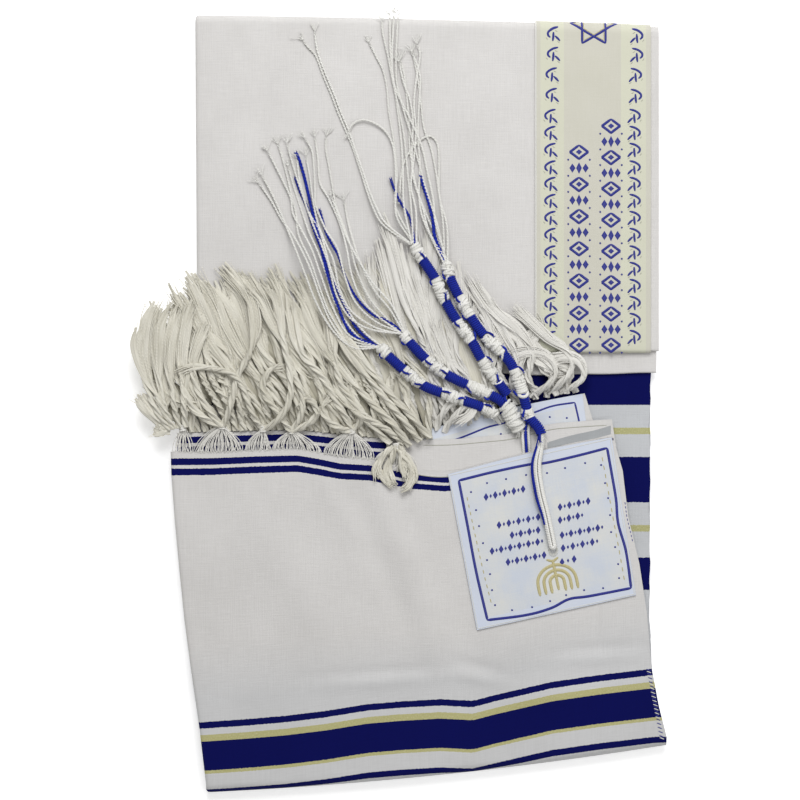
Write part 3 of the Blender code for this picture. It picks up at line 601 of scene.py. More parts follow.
# Darker combed fibres: painted shade for the gaps between the locks
FRINGE_PAINTED_SHADE = combed("fringe_painted_shade", linear(198, 194, 178), linear(158, 154, 139))
WHITE_CORD = yarn("white_cord", linear(235, 234, 230), linear(206, 205, 199), 0.003)
BLUE_CORD = yarn("blue_cord", linear(26, 50, 172), linear(10, 18, 104), 0.003, sheen=0.02)

# ---- Cloth ----

# Rows of a flap: left x and y, right x and y, height, turn from straight up, how far the left lip is
# rolled, bow of the line, and share of the ragged edge's outline
LEFT_X, LEFT_Y, RIGHT_X, RIGHT_Y, HEIGHT, TURN, CURL, BOW, RAGGED = range(9)


def sheet(piece, name, flat, *replaced, look=CLOTH_LOOK, slot="cloth"):
    """Makes a piece of cloth. Its flat size in metres, flat, is not used."""
    made = piece.make(name, [look], slot, replaced)


def bend(fold, radius, middle, start, end, steps, curl, bow, direction=1):
    rows = []
    for degrees in np.linspace(start, end, steps + 1):
        turn = math.radians(degrees)
        reach = radius * math.sin(turn) - direction * radius
        rows.append((fold[0][0], fold[0][1] + reach, fold[1][0], fold[1][1] + reach,
                     middle + radius * math.cos(turn), turn, curl, bow, 0.0))
    return rows


def refined(rows, spacing):
    """The same rows with more between them, no further apart than the spacing."""
    made = []
    for first, second in zip(rows, rows[1:]):
        first, second = np.array(first), np.array(second)
        distance = max(abs(first[LEFT_Y] - second[LEFT_Y]), abs(first[RIGHT_Y] - second[RIGHT_Y]))
        steps = max(1, math.ceil(distance / spacing))
        made += [lerp(first, second, step / steps) for step in range(steps)]
    return np.array(made + [np.array(rows[-1])])


def top_flap_rows():
    nose = (TOP_SURFACE - 6 * LAYER) / 2
    fold = TOP_SURFACE / 2
    (left_x, left_y), (right_x, right_y) = TOP_END
    rows = [(left_x, left_y + 30, right_x, right_y + 30, 6 * LAYER, -math.pi, 0, 0, 0)]
    rows += bend(TOP_END, nose, 6 * LAYER + nose, -180, 0, 10, 0, 0, direction=-1)
    for share in (0.06, 0.14, 0.26, 0.4, 0.52, 0.64, 0.76, 0.9):
        rows.append((lerp(left_x, TOP_FOLD[0][0], share),
                     lerp(left_y + nose, TOP_FOLD[0][1] - fold, share), right_x,
                     lerp(right_y + nose, TOP_FOLD[1][1] - fold, share), TOP_SURFACE, 0.0,
                     smoothstep(share * 5), TOP_FOLD_BOW * share, 0))
    rows += bend(TOP_FOLD, fold, fold, 0, 180, 16, 1.0, TOP_FOLD_BOW)
    for y in (14.0, FLOOR_SEAM):
        rows.append((base_side(y, "left"), y, base_side(y, "right"), y, 0.0, math.pi, 1.0, 0, 0))
    return rows


def bottom_flap_rows():
    fold = BOTTOM_SURFACE / 2
    rows = []
    for number, (left_x, left_y, right_x, right_y, ragged) in enumerate(BOTTOM_FLAP_ROWS):
        bow = BOTTOM_FOLD_BOW * (number / len(BOTTOM_FLAP_ROWS)) ** 2
        rows.append((left_x, left_y, right_x, right_y, BOTTOM_SURFACE, 0.0, 1.0, bow, ragged))
    rows += bend(BOTTOM_FOLD, fold, fold, 0, -180, 16, 1.0, BOTTOM_FOLD_BOW, direction=-1)
    for y in (-190.0, -165.0, -132.0, FLOOR_SEAM - GAP):
        rows.append((base_side(y, "left"), y, base_side(y, "right"), y, 0.0, -math.pi, 1.0, 0, 0))
    return rows


def flap_surface(rows, x):
    """Outer points of the rows at these x, one row of x for each, and the directions out of the cloth."""
    def field(number):
        return rows[:, number][:, None]

    share = (x - field(LEFT_X)) / (field(RIGHT_X) - field(LEFT_X))
    y = lerp(field(LEFT_Y), field(RIGHT_Y), share) + field(BOW) * 4 * share * (1 - share)
    first = BOTTOM_FLAP_ROWS[0]
    chord = lerp(first[1], first[3], (x - first[0]) / (first[2] - first[0]))
    y = y + field(RAGGED) * (rounded_edge(FRONT_EDGE, x) - chord)
    turn = field(TURN)
    z = field(HEIGHT) + relief(x, y) * np.maximum(np.cos(turn), 0.0) ** 4
    out = stacked(0 * x, np.sin(turn), np.cos(turn))
    return stacked(x, y, z), out


def flap_columns(rows, spacing):
    """For each row its x, depth below the outer face and angle round the lip, from left to right."""
    rolled = np.maximum(rows[:, CURL], 0.02)[:, None]
    radius = LIP_RADIUS / rolled
    start = rows[:, LEFT_X][:, None] + radius * np.sin(np.minimum(rolled * math.pi, math.pi / 2))
    angle = np.linspace(math.pi, 0, LIP_STEPS, endpoint=False)[None] * rolled
    count = round((ATARA_RIGHT - TOP_END[0][0]) / spacing)
    flat = lerp(start, rows[:, RIGHT_X][:, None], np.linspace(0, 1, count)[None])
    x = np.hstack([start - radius * np.sin(angle), flat])
    depth = np.hstack([radius * (1 - np.cos(angle)), 0 * flat])
    return x, depth, np.hstack([angle, 0 * flat])


def flap_wall(piece, rows, spacing, run_of):
    x, depth, angle = flap_columns(rows, spacing)
    point, out = flap_surface(rows, x)
    outer = point - out * depth[..., None]
    inner_point, out = flap_surface(rows, x + CLOTH * np.sin(angle))
    inner = inner_point - out * (depth + CLOTH * np.cos(angle))[..., None]
    lip = depth * (angle > 0.5 * math.pi)
    run = stacked((x - lip) * MM, run_of(rows, outer) * MM)
    piece.wall(outer, inner, run)
    return outer


def arc_run(outer):
    """How far each point lies along its column, from the first row."""
    steps = np.linalg.norm(np.diff(outer, axis=0), axis=-1)
    return np.vstack([np.zeros((1, outer.shape[1])), np.cumsum(steps, axis=0)])


def top_flap_run(rows, outer):
    """Plain cloth on top. On the floor the bands of the bottom flap carry on."""
    on_floor = rows[:, TURN][:, None] > math.radians(170)
    return np.where(on_floor, np.maximum(outer[..., 1] + BASE_RUN, BASE_LEAST_RUN), PLAIN_RUN + arc_run(outer))


def bottom_flap_run(rows, outer):
    x, y = outer[..., 0], outer[..., 1]
    edge = rounded_edge(FRONT_EDGE, x)
    pair = along(PAIR_LINE, x)
    group = along(GROUP_LINE, x)
    paired = np.where(x < 120, PAIR_RUN, 20.0)
    run = np.where(
        y > pair, paired * (edge - y) / (edge - pair),
        np.where(y > group, lerp(paired, GROUP_RUN, (pair - y) / (pair - group)), GROUP_RUN + group - y))
    turn = rows[:, TURN]
    bent = np.flatnonzero(turn < 0)
    arc = arc_run(outer)
    last_flat = bent[0] - 1
    run[bent] = run[last_flat] + arc[bent] - arc[last_flat]
    floor = np.flatnonzero(turn < -math.radians(179.9))
    start = floor[0]
    end_run = FLOOR_SEAM + BASE_RUN
    share = (arc[floor] - arc[start]) / (arc[-1] - arc[start])
    run[floor] = lerp(run[start], end_run, share)
    return run


def build_flaps():
    for name, rows, apart, spacing, run_of, flat, replaced in (
            ("top_flap_cloth", top_flap_rows(), 3.0, 2.8, top_flap_run, (0.282, 0.49), "top_flap"),
            ("bottom_flap_cloth", bottom_flap_rows(), 2.8, 2.6, bottom_flap_run, (0.29, 0.425), "bottom_flap")):
        piece = Piece()
        flap_wall(piece, refined(rows, apart), spacing, run_of)
        sheet(piece, name, flat, replaced)


def layer_sheet(piece, number):
    """One folded layer between the flaps, from under the top flap, round both folds, to the bottom flap."""
    top_radius = TOP_SURFACE / 2
    bottom_radius = BOTTOM_SURFACE / 2
    middle = number * LAYER + CLOTH / 2
    rows = []

    def flat(y, z, turn, left, right):
        rows.append((y, z, turn, left, right, None))

    def fold(line, radius, sign, degrees):
        side_y = (line[0][1] + line[1][1]) / 2
        left = base_side(side_y, "left") + LIP_CLEARANCE
        right = min(base_side(side_y, "right"), line[1][0]) - 1.0
        for turn in np.radians(degrees):
            rows.append((sign * ((radius - middle) * math.sin(turn) - radius),
                         radius + (radius - middle) * math.cos(turn), turn, left, right, line))

    upper = 2 * top_radius - middle
    for y in np.arange(TOP_STEP + 1, TOP_FOLD[1][1] - top_radius - 4, LAYER_SPACING * 2):
        flat(y, upper, 0.0, TOP_END[0][0] + LIP_CLEARANCE, TOP_END[1][0] - 1.0)
    fold(TOP_FOLD, top_radius, 1, np.linspace(0, 180, 13))
    for y in np.arange(TOP_FOLD[1][1] - top_radius - 4, BOTTOM_FOLD[1][1] + bottom_radius + 6, -LAYER_SPACING):
        flat(y, middle, math.pi, base_side(y, "left") + LIP_CLEARANCE, base_side(y, "right") - 0.5)
    fold(BOTTOM_FOLD, bottom_radius, -1, np.linspace(180, 0, 13))
    upper = 2 * bottom_radius - middle
    for y in np.arange(BOTTOM_FOLD[1][1] + bottom_radius + 6, HIDDEN_STEP - 1, LAYER_SPACING * 2):
        flat(y, upper, 0.0, flap_side(y, "left") + LIP_CLEARANCE, flap_side(y, "right") - 1.4)

    across = np.concatenate([np.linspace(0, 0.85, 16, endpoint=False), np.linspace(0.85, 1, 12)])
    outer, inner, run = [], [], []
    for y, z, turn, left, right, line in rows:
        x = lerp(left, right, across)
        wavy = 0.5 * np.sin(y / 9.0 + number * 2.1) + 0.3 * np.sin(y / 3.7 + number)
        x = x + wavy * across ** 8
        bow = TOP_FOLD_BOW if line is TOP_FOLD else BOTTOM_FOLD_BOW
        place = y if line is None else y + slant(line, bow, x)
        toward = 1 if line is TOP_FOLD else -1
        out_y = toward * math.sin(turn) if line is not None else 0.0
        out_z = math.cos(turn)
        lift = 0.22 * (np.sin(y / 7.0 + number * 1.7) + np.sin(y / 16.0 + number)) * across ** 10
        centre = stacked(x, place, z + lift)
        out = np.array([0.0, out_y, out_z])
        outer.append(centre + out * CLOTH / 2)
        inner.append(centre - out * CLOTH / 2)
        on_base = turn > math.radians(179)
        run.append(stacked(x, centre[:, 1] + BASE_RUN if on_base else PLAIN_RUN + y) * MM)
    piece.wall(np.array(outer), np.array(inner), np.array(run))


def build_inner_layers():
    for number in (1, 2, 3):
        piece = Piece()
        layer_sheet(piece, number)
        replaced = ["inner_layers"] if number == 1 else []
        sheet(piece, f"inner_layer_{number}", (0.274, 0.76), *replaced)


def edge_sheet(name, edge, bottom, right_low, replaced, flat, shift_at):
    """A layer from its raw edge to where the bottom flap hides it. shift_at gives the run at its edge."""
    down = np.linspace(0, 1, 24)[:, None]
    across = np.linspace(0, 1, 120)[None]
    side_y = lerp(edge[0][1], HIDDEN_STEP, down)
    left = lerp(edge[0][0], flap_side(HIDDEN_STEP, "left") + LIP_CLEARANCE, down)
    left = np.maximum(left, flap_side(side_y, "left") + LIP_CLEARANCE * (down > 0))
    right = lerp(edge[-1][0], right_low, down)
    x = lerp(left, right, across)
    top_x = lerp(edge[0][0], edge[-1][0], across)
    start = rounded_edge(edge, top_x)
    y = lerp(start, HIDDEN_STEP + GAP, down)
    z = bottom + 0 * x
    lower = stacked(x, y, z)
    run = stacked(x, start - y + shift_at(x)) * MM
    piece = Piece()
    piece.wall(lower + UP * CLOTH, lower, run)
    sheet(piece, name, flat, replaced)


def build_second_fold():
    low = 4 * LAYER
    radius = (LAYER + CLOTH) / 2
    middle = low + radius
    centre_y = SECOND_FOLD_END + radius
    thin = radius - CLOTH / 2
    left, right = TOP_END[0][0] + LIP_CLEARANCE, 154.0
    turns = np.radians(np.linspace(90, 270, 13))
    profile = [(TOP_STEP - 0.6, middle + thin, 0.0, 1.0)]
    profile += [(y, middle + thin, 0.0, 1.0) for y in np.linspace(55, centre_y + 1, 14)]
    profile += [(centre_y + thin * math.cos(a), middle + thin * math.sin(a), math.cos(a), math.sin(a))
                for a in turns]
    profile += [(y, middle - thin, 0.0, -1.0) for y in np.linspace(centre_y + 1, TOP_STEP - 0.6, 8)]
    profile = np.array(profile)
    x = np.linspace(left, right, 110)
    y, z, out_y, out_z = [np.broadcast_to(profile[:, n][:, None], (len(profile), len(x))) for n in range(4)]
    grid_x = np.broadcast_to(x, y.shape)
    nose = np.exp(-((profile[:, 0] - SECOND_FOLD_END) / 14) ** 2)[:, None]
    y = y + nose * (0.5 * np.sin(grid_x / 19) + 0.25 * np.sin(grid_x / 7.3))
    centre = stacked(grid_x, y, z)
    out = stacked(0 * grid_x, out_y, out_z)
    run = stacked(grid_x, PLAIN_RUN + y) * MM
    piece = Piece()
    piece.wall(centre + out * CLOTH / 2, centre - out * CLOTH / 2, run)
    sheet(piece, "second_fold_cloth", (0.273, 0.093), "top_flap_second_fold")


# ---- Neck band and patches ----


def on_top_flap(x, y, height):
    """A place on the top flap by its run along it, which goes round the top fold past its flat part."""
    radius = TOP_SURFACE / 2
    flat = slant(TOP_FOLD, TOP_FOLD_BOW, x) - radius
    turn = np.maximum(y - flat, 0) / radius
    lift = relief(x, y) * np.maximum(np.cos(turn), 0) ** 4
    point = stacked(x + 0 * y, np.minimum(y, flat), TOP_SURFACE + lift)
    out = stacked(0 * turn, np.sin(turn), np.cos(turn))
    point[..., 1] += radius * np.sin(turn)
    point[..., 2] += radius * (np.cos(turn) - 1)
    return point + out * (GAP + TRIM_CLOTH + height)[..., None]


def level_surface(level, follows=False):
    """A surface at a level above the floor, that follows the relief of the flaps or lies flat."""
    return lambda x, y, height: stacked(x, y, level + (relief(x, y) if follows else 0.0) + height)


on_front_patch = level_surface(BOTTOM_SURFACE + GAP + TRIM_CLOTH, follows=True)
on_back_patch = level_surface(BACK_PATCH_BOTTOM + PATCH_CLOTH)
on_bottom_flap = level_surface(BOTTOM_SURFACE, follows=True)
on_second_layer = level_surface(SECOND_LAYER_BOTTOM + CLOTH + 0.05)
# Height of the satin stitch across a stroke, by share of its half width
STITCH_SHARES = np.array([-1.0, -0.7, 0.0, 0.7, 1.0])
STITCH_RISE = np.array([-0.05, 0.75, 1.0, 0.75, -0.05])


def stroke(piece, surface, points, width, look, height, spacing=0.8, even=False):
    """A line of satin stitch, crowned across, along a smooth curve through the points. Even strokes have as
    many rings as points, and may give each its own width."""
    steps = len(points) - 1 if even else max(2, round(curve_length(points) / spacing))
    path = smooth_curve(points, np.linspace(0, 1, steps + 1))
    ahead = unit(np.gradient(path, axis=0))
    aside = np.column_stack([-ahead[:, 1], ahead[:, 0]])
    widths = np.broadcast_to(width, (len(path),))
    if not even:
        ends = np.linspace(0, 1, len(path))
        widths = widths * (0.55 + 0.45 * np.clip(np.minimum(ends, 1 - ends) * len(path) / 2, 0, 1))
    flat = path[:, None] + aside[:, None] * (STITCH_SHARES[None, :, None] * widths[:, None, None] / 2)
    grid = surface(flat[..., 0], flat[..., 1], height * np.broadcast_to(STITCH_RISE, flat.shape[:2]))
    corners = stacked(run_along(path)[:, None], STITCH_SHARES[None] * widths[:, None] / 2) * MM
    piece.quads(piece.add(grid), corners, look)


def picture(*pixels):
    """Places on the shawl from places in the picture frame."""
    return [((x - PICTURE_CENTRE) * PIXEL, (PICTURE_CENTRE - y) * PIXEL) for x, y in pixels]


def build_atara():
    stations = refined(top_flap_rows(), 2.4)
    quarter = math.radians(92)
    rows = stations[np.abs(stations[:, TURN]) <= quarter]
    x = np.broadcast_to(np.linspace(ATARA_LEFT, ATARA_RIGHT, 64), (len(rows), 64))
    point, out = flap_surface(rows, x)
    run = stacked(x - ATARA_LEFT, point[..., 1]) * MM
    piece = Piece()
    piece.wall(point + out * (GAP + TRIM_CLOTH), point + out * GAP, run)
    sheet(piece, "neck_band", (0.0695, 0.212), "atara", look=ATARA_LOOK, slot="neck_band")


def build_patches():
    for name, corners, surface, thickness, replaced in (
            ("front_patch", FRONT_PATCH, on_front_patch, TRIM_CLOTH, "corner_patch_front"),
            ("back_patch", BACK_PATCH, on_back_patch, PATCH_CLOTH, "corner_patch_back")):
        top_left, top_right, low_right, low_left = [np.array(corner) for corner in corners]
        down = np.linspace(0, 1, 50)[:, None, None]
        across = np.linspace(0, 1, 50)[None, :, None]
        place = lerp(lerp(top_left, top_right, across), lerp(low_left, low_right, across), down)
        x = place[..., 0]
        y = place[..., 1] + (PATCH_BOW * np.sin(math.pi * across) * (1 - down))[..., 0]
        outer = surface(x, y, 0 * x)
        piece = Piece()
        width, length = np.linalg.norm(top_right - top_left), np.linalg.norm(top_left - low_left)
        piece.wall(outer, outer - UP * thickness, stacked(across[..., 0] * width, down[..., 0] * length) * MM)
        flat = (float(width * MM), float(length * MM))
        sheet(piece, name, flat, replaced, look=PATCH_LOOK, slot="corner_patch")


# Border sprigs of the neck band, in pixels from their centre: an arched leaf and a forked stem
SPRIG = [[(5.0, -6.6), (-0.4, -5.2), (-4.8, -2.0), (-5.0, 1.2), (-2.8, 3.4)],
         [(0.4, -2.0), (0.2, 2.4), (-0.4, 7.0)],
         [(1.8, 1.8), (4.2, 4.0), (6.8, 6.8)]]
SPRIG_SHADOW = [[(-7.0, 3.6), (-5.4, 5.6)], [(4.4, 7.2), (6.6, 9.0)], [(2.0, -3.4), (4.4, -2.4)]]
LEFT_SPRIGS = [34, 54, 74.5, 95, 116, 133, 150, 167.5, 184, 201, 218, 235, 252.5, 270, 287, 304, 320, 338]
RIGHT_SPRIGS = [36, 55, 75, 96, 116, 133, 150, 167.5, 184, 201, 218, 235, 252.5, 269, 286, 303, 320, 337]
# Chains of lozenges and diamonds down the middle of the neck band: x, first y and last y
CHAINS = [(579, 152, 345), (611, 126, 345)]
CHAIN_PITCH = 15.5
STAR_CENTRE = (593.8, 23.0)
STAR_RADIUS = 23.5
STAR_INNER_SHARE = 0.86
BAND_TOP = 19.0


# Places of the threads in the lists of materials of the neck band and the front patch
IN_BLUE, IN_GOLD, IN_WHITE, IN_SHADOW = range(4)


def moved(points, x, y, mirror):
    return [(x + mirror * px, y + py) for px, py in points]


def motif_stroke(piece, surface, points, width, look=IN_BLUE, height=0.28):
    """A stroke between places of the picture's frame, with its width in pixels."""
    stroke(piece, surface, picture(*points), width * PIXEL, look, height)


def lozenge(x, y, wide, tall):
    return [(x, y - tall), (x + wide, y), (x, y + tall), (x - wide, y)]


def diamond(piece, surface, x, y, wide, tall):
    """A filled diamond of satin stitch."""
    shares = np.linspace(-1, 1, 7)
    path = picture(*[(x, y + share * tall) for share in shares])
    widths = 2 * wide * PIXEL * (1.04 - np.abs(shares))
    stroke(piece, surface, path, widths, IN_BLUE, 0.26, even=True)


def between(start, end, shares):
    return [(lerp(start[0], end[0], share), lerp(start[1], end[1], share)) for share in shares]


def sharp_path(points, closed=True, steps=5):
    """The same points with others on the straights between them, so that corners stay sharp."""
    points = list(points) + ([points[0]] if closed else [])
    made = []
    for start, end in zip(points, points[1:]):
        made += between(start, end, np.linspace(0, 1, steps, endpoint=False))
    return made + [points[-1]]


def chain(piece, surface, x, first, last):
    """A chain of lozenges with a diamond in each, and rows of three diamonds between them."""
    count = round((last - first) / CHAIN_PITCH) + 1
    for number in range(count):
        y = lerp(first, last, number / (count - 1))
        if number % 2 == 0:
            motif_stroke(piece, surface, sharp_path(lozenge(x, y, 9.0, 6.8)), 2.7)
            diamond(piece, surface, x, y, 3.2, 2.6)
        else:
            diamond(piece, surface, x, y, 2.8, 5.6)
            for side in (-1, 1):
                diamond(piece, surface, x + side * 6.6, y, 3.0, 4.4)
        for side in (-1, 1):
            diamond(piece, surface, x + side * 10.8, y + CHAIN_PITCH / 2, 1.2, 1.2)


def build_atara_embroidery():
    piece = Piece()
    for column, places, mirror in ((550.5, LEFT_SPRIGS, 1), (634.5, RIGHT_SPRIGS, -1)):
        for number, y in enumerate(places):
            x = column + (2.6 if number < 4 else 0) * (1 if number < 2 else 0.5)
            for points in SPRIG:
                motif_stroke(piece, on_top_flap, moved(points, x, y, mirror), 2.3)
            for points in SPRIG_SHADOW:
                motif_stroke(piece, on_top_flap, moved(points, x, y, mirror), 1.0, IN_SHADOW, height=0.15)
    for x, first, last in CHAINS:
        chain(piece, on_top_flap, x, first, last)
    centre_x, centre_y = STAR_CENTRE
    for start in (0, 60):
        corners = [(centre_x + STAR_RADIUS * math.cos(math.radians(start + 120 * n)),
                    centre_y + STAR_RADIUS * math.sin(math.radians(start + 120 * n))) for n in range(3)]
        inner = [(lerp(centre_x, x, STAR_INNER_SHARE), lerp(centre_y, y, STAR_INNER_SHARE)) for x, y in corners]
        for shape, width, look in ((corners, 2.3, IN_BLUE), (inner, 0.8, IN_GOLD)):
            for number in range(3):
                side = between(shape[number], shape[(number + 1) % 3], np.linspace(0, 1, 31))
                side = [place for place in side if place[1] > BAND_TOP]
                if len(side) > 2:
                    motif_stroke(piece, on_top_flap, side, width, look, height=0.28 - 0.1 * look)
    # The seam down the left side
    seam = sharp_path([(536.2, 24), (535.8, 348)], False, 40)
    motif_stroke(piece, on_top_flap, seam, 0.9, IN_WHITE, height=0.2)
    piece.make("neck_band_embroidery", [BLUE_THREAD, GOLD_THREAD, WHITE_THREAD, SHADOW_THREAD], "neck_band")


# Frame of the patches, in the picture's own frame, from the top left, clockwise
FRONT_FRAME = [
    [(458.7, 480.5), (493, 472), (529, 464.5), (545, 463), (576, 456), (607, 448)],
    [(607, 448), (612, 476), (616, 500), (618, 523), (626, 552), (631, 588)],
    [(631, 588), (589.5, 596), (569, 599), (551, 608), (526, 615), (487.4, 620)],
    [(487.4, 620), (476, 571), (467, 523), (458.7, 480.5)],
]
FRONT_DOTS = [
    (471, 492), (487, 483), (506, 479), (526, 475), (547, 473), (565, 468), (585, 463), (601, 465),
    (605, 483), (608, 498), (610, 515), (611, 532), (615, 547), (618, 564), (619, 578), (603, 588),
    (584, 590), (566, 595), (550, 601), (532, 607), (512, 610), (495, 605), (476, 510), (479, 526),
    (483, 543), (487, 560), (490, 574), (492, 590),
]
FRONT_GOLD = [[(467, 497), (474, 530), (483, 570), (492, 606)],
              [(602, 457), (608, 490), (613, 518), (619, 550), (625, 584)]]
BACK_FRAME = [[(438, 446), (463, 437), (487, 427.5), (504, 423), (533, 413), (553, 406), (575, 402.5)],
              [(575, 402.5), (579, 420), (583, 440)]]
BACK_DOTS = [(550, 417), (567, 418), (501, 434), (482, 438)]
# Rows of small lozenges and dots on the patch: first place, last place and how many
PATCH_ROWS = [
    ((486, 497), (523, 489), 9), ((560, 507), (588, 501), 7), ((499, 525), (538, 517), 9),
    ((560, 520), (582, 515), 6), ((512, 535), (538, 530), 7), ((562, 535), (602, 527), 10),
    ((492, 551), (542, 541), 12), ((563, 548), (597, 541), 8), ((508, 562), (544, 555), 9),
    ((562, 562), (574, 559), 3),
]
MENORAH_CENTRE = (553.0, 562.4)
MENORAH_TURN = -12.0
MENORAH_ARCHES = (7.0, 13.2, 19.4)


def menorah(piece, surface, look):
    """Three nested arches over a stem and a short foot. It stands on its head, as the patch does."""
    angle = math.radians(MENORAH_TURN)

    def turned(points):
        return [(MENORAH_CENTRE[0] + x * math.cos(angle) - y * math.sin(angle),
                 MENORAH_CENTRE[1] + x * math.sin(angle) + y * math.cos(angle)) for x, y in points]

    foot = 28.0
    motif_stroke(piece, surface, turned([(0, -2), (0, 8), (0, foot)]), 3.0, look)
    motif_stroke(piece, surface, turned([(-6, -4), (0, -1.5), (6, -4)]), 2.6, look)
    for number, reach in enumerate(MENORAH_ARCHES):
        top = 13.2 - 5.2 * number
        arch = [(reach * math.cos(turn), top + reach * 0.86 - reach * 0.86 * math.sin(turn))
                for turn in np.radians(np.linspace(0, 180, 9))]
        points = [(reach, foot + 2)] + arch + [(-reach, foot + 2)]
        motif_stroke(piece, surface, turned(points), 3.3, look)


def build_patch_embroidery():
    piece = Piece()
    for side in FRONT_FRAME:
        motif_stroke(piece, on_front_patch, side, 2.8, height=0.25)
    for points in FRONT_GOLD:
        path = smooth_curve(np.array(points, float), np.linspace(0, 1, 31))
        for start in range(0, 30, 2):
            motif_stroke(piece, on_front_patch, path[start:start + 2], 1.3, IN_GOLD, height=0.15)
    for x, y in FRONT_DOTS:
        motif_stroke(piece, on_front_patch, [(x - 0.9, y), (x + 0.9, y)], 2.4)
    for (first_x, first_y), (last_x, last_y), count in PATCH_ROWS:
        for number in range(count):
            share = number / max(count - 1, 1)
            x, y = lerp(first_x, last_x, share), lerp(first_y, last_y, share)
            tall = 3.9 if number % 2 == 0 else 2.0
            diamond(piece, on_front_patch, x, y, 0.62 * tall, tall)
    menorah(piece, on_front_patch, IN_GOLD)
    seam = [(449.5, 475.5), (477.8, 628.5), (634.2, 594), (610, 439)]
    motif_stroke(piece, on_front_patch, sharp_path(seam, steps=40), 0.8, IN_WHITE, height=0.15)
    piece.make("front_patch_embroidery", [BLUE_THREAD, GOLD_THREAD, WHITE_THREAD], "corner_patch")
    piece = Piece()
    for side in BACK_FRAME:
        motif_stroke(piece, on_back_patch, side, 1.9, height=0.2)
    for x, y in BACK_DOTS:
        motif_stroke(piece, on_back_patch, [(x - 0.9, y), (x + 0.9, y)], 2.4, height=0.2)
    piece.make("back_patch_embroidery", [BLUE_THREAD, GOLD_THREAD], "corner_patch")


def build_hem_stitches():
    """Overlock stitches on the open edge of the bottom flap, at its stripes and beside the patch."""
    piece = Piece()
    for number in range(34):
        y = lerp(-162.0, -203.0, number / 33)
        edge = float(flap_side(y, "right")) - 0.7
        points = [(edge - 2.6, y + 0.5), (edge - 1.2, y), (edge, y - 0.5)]
        stroke(piece, on_bottom_flap, points, 0.7, number % 2, 0.2)
    for number in range(10):
        y = lerp(-62.0, -84.0, number / 9)
        edge = float(flap_side(y, "right")) - 0.8
        stroke(piece, on_bottom_flap, [(edge - 0.3, y + 0.7), (edge, y - 0.7)], 0.6, 0, 0.2)
    piece.make("hem_stitches", [BLUE_THREAD, WHITE_THREAD], "cloth")


def build_hem_shadows():
    """Painted shadow in the fold of the second layer's hem, right of the tzitzit, as a grey ribbon,
    with thin painted shadow lines below the edges of the second layer and the bottom flap.
    """
    x = np.linspace(88.5, 126.6, 30)[None]
    down = np.linspace(0, 1, 5)[:, None]
    share = (x - 88.5) / 38.1
    y = lerp(-25.2, -15.4, share) - lerp(4.2, 5.2, share) * down + 0.25 * np.sin(x / 5.0)
    grid = on_second_layer(x + 0 * down, y, 0.0)
    piece = Piece()
    # The ribbon takes the grey of the painted fold shadow from the striped cloth
    run = stacked(x, 252.0 + 1.5 * down) * MM
    piece.quads(piece.add(grid[::-1]), run[::-1], 1)
    # Thin painted shadow lines below the edges of the second layer and the bottom flap
    for start, reach, surface, edge in ((14, 124, on_second_layer, SECOND_EDGE),
                                        (-2, 126, on_bottom_flap, FRONT_EDGE)):
        places = [(place, float(rounded_edge(edge, place)) - 3.4) for place in np.linspace(start, reach, 24)]
        stroke(piece, surface, places, 0.45, 0, 0.12)
    piece.make("second_layer_hem_shadow", [SHADOW_THREAD, CLOTH_LOOK], "cloth")


def build_eyelet():
    """The buttonhole of the front patch, edged with stitches, that the tzitzit goes into."""
    (centre_x, centre_y), = picture((553, 550))
    piece = Piece()
    for number in range(26):
        angle = math.tau * number / 26
        inner, outer = 2.1, 3.9
        points = [(centre_x + reach * 0.8 * math.cos(angle), centre_y + reach * math.sin(angle))
                  for reach in (inner, (inner + outer) / 2, outer)]
        stroke(piece, on_front_patch, points, 0.85, 0, 0.35, spacing=0.6)
    piece.make("front_patch_eyelet", [WHITE_THREAD], "corner_patch")


# ---- Fringe ----
STRIP_GAP = 0.5
SECOND_FAN = [(-132, -148, 10), (-100, -136, 60), (-60, -104, 81), (-20, -60, 68), (20, -14, 80)]
THIRD_FAN = [(-131, -162, 22), (-118, -151, 54), (-100, -134, 70), (-60, -100, 76), (-20, -52, 72),
             (10, -18, 92), (30, 8, 108), (60, 38, 72), (90, 74, 46), (109, 100, 24)]
LOCK_RISE = 20.0
FLOOR_CLEARANCE = 3.4
# How far from the third edge its fringe is first seen, by x: a dark gap shows beyond the second patch
ROOTS_LIFTED = ([62, 70, 80, 100, 109], [0.0, 3.4, 3.4, 1.6, 0.8])
FLANK_X = -127.0
FLANK_WIDTH = 26.0
# How far left the locks reach, and where the third edge's fringe grows paler, by x and by pixel
UNDERLAY_LEFT, TIP_LEFT, LOCK_LEFT = -152, -153.0, -155.0
PALE_FROM = -14
PALE_FROM_PIXEL = 400
LOCK_THREADS = 7
# The fringe's looks, and their places in its pieces' lists of materials. The darker combed look is
# painted shade for the gaps between the locks
FRINGE_LOOKS = [FRINGE_YARN, FRINGE_BODY, FRINGE_PAINTED_SHADE, PALE_YARN, PALE_BODY]
YARN, COMBED, PAINTED_GAP_SHADE, PALE_THREAD, PALE_COMBED = range(5)
# Name, edge, strip height, fan (root x, tip x and tip y), level, number of locks, drop past the left side
FRINGES = [
    ("fringe_front", FRONT_EDGE, BOTTOM_SURFACE - CLOTH, [], 16.2, 0, 0.0),
    ("fringe_second", SECOND_EDGE, SECOND_LAYER_BOTTOM, SECOND_FAN, 14.3, 34, 0.0),
    ("fringe_third", THIRD_EDGE, 5 * LAYER, THIRD_FAN, 12.4, 40, 10.0),
]


# Threads of the front edge gather in knots: place of the knot, and the stretch of edge that it gathers,
# all in the picture's own frame
GATHERS = [
    (183, 428, 172, 193),
    (222, 426, 193, 243),
    (263, 429, 244, 272),
    (291, 431, 272, 322),
    (352, 431, 323, 374),
    (396, 446, 375, 416),
]
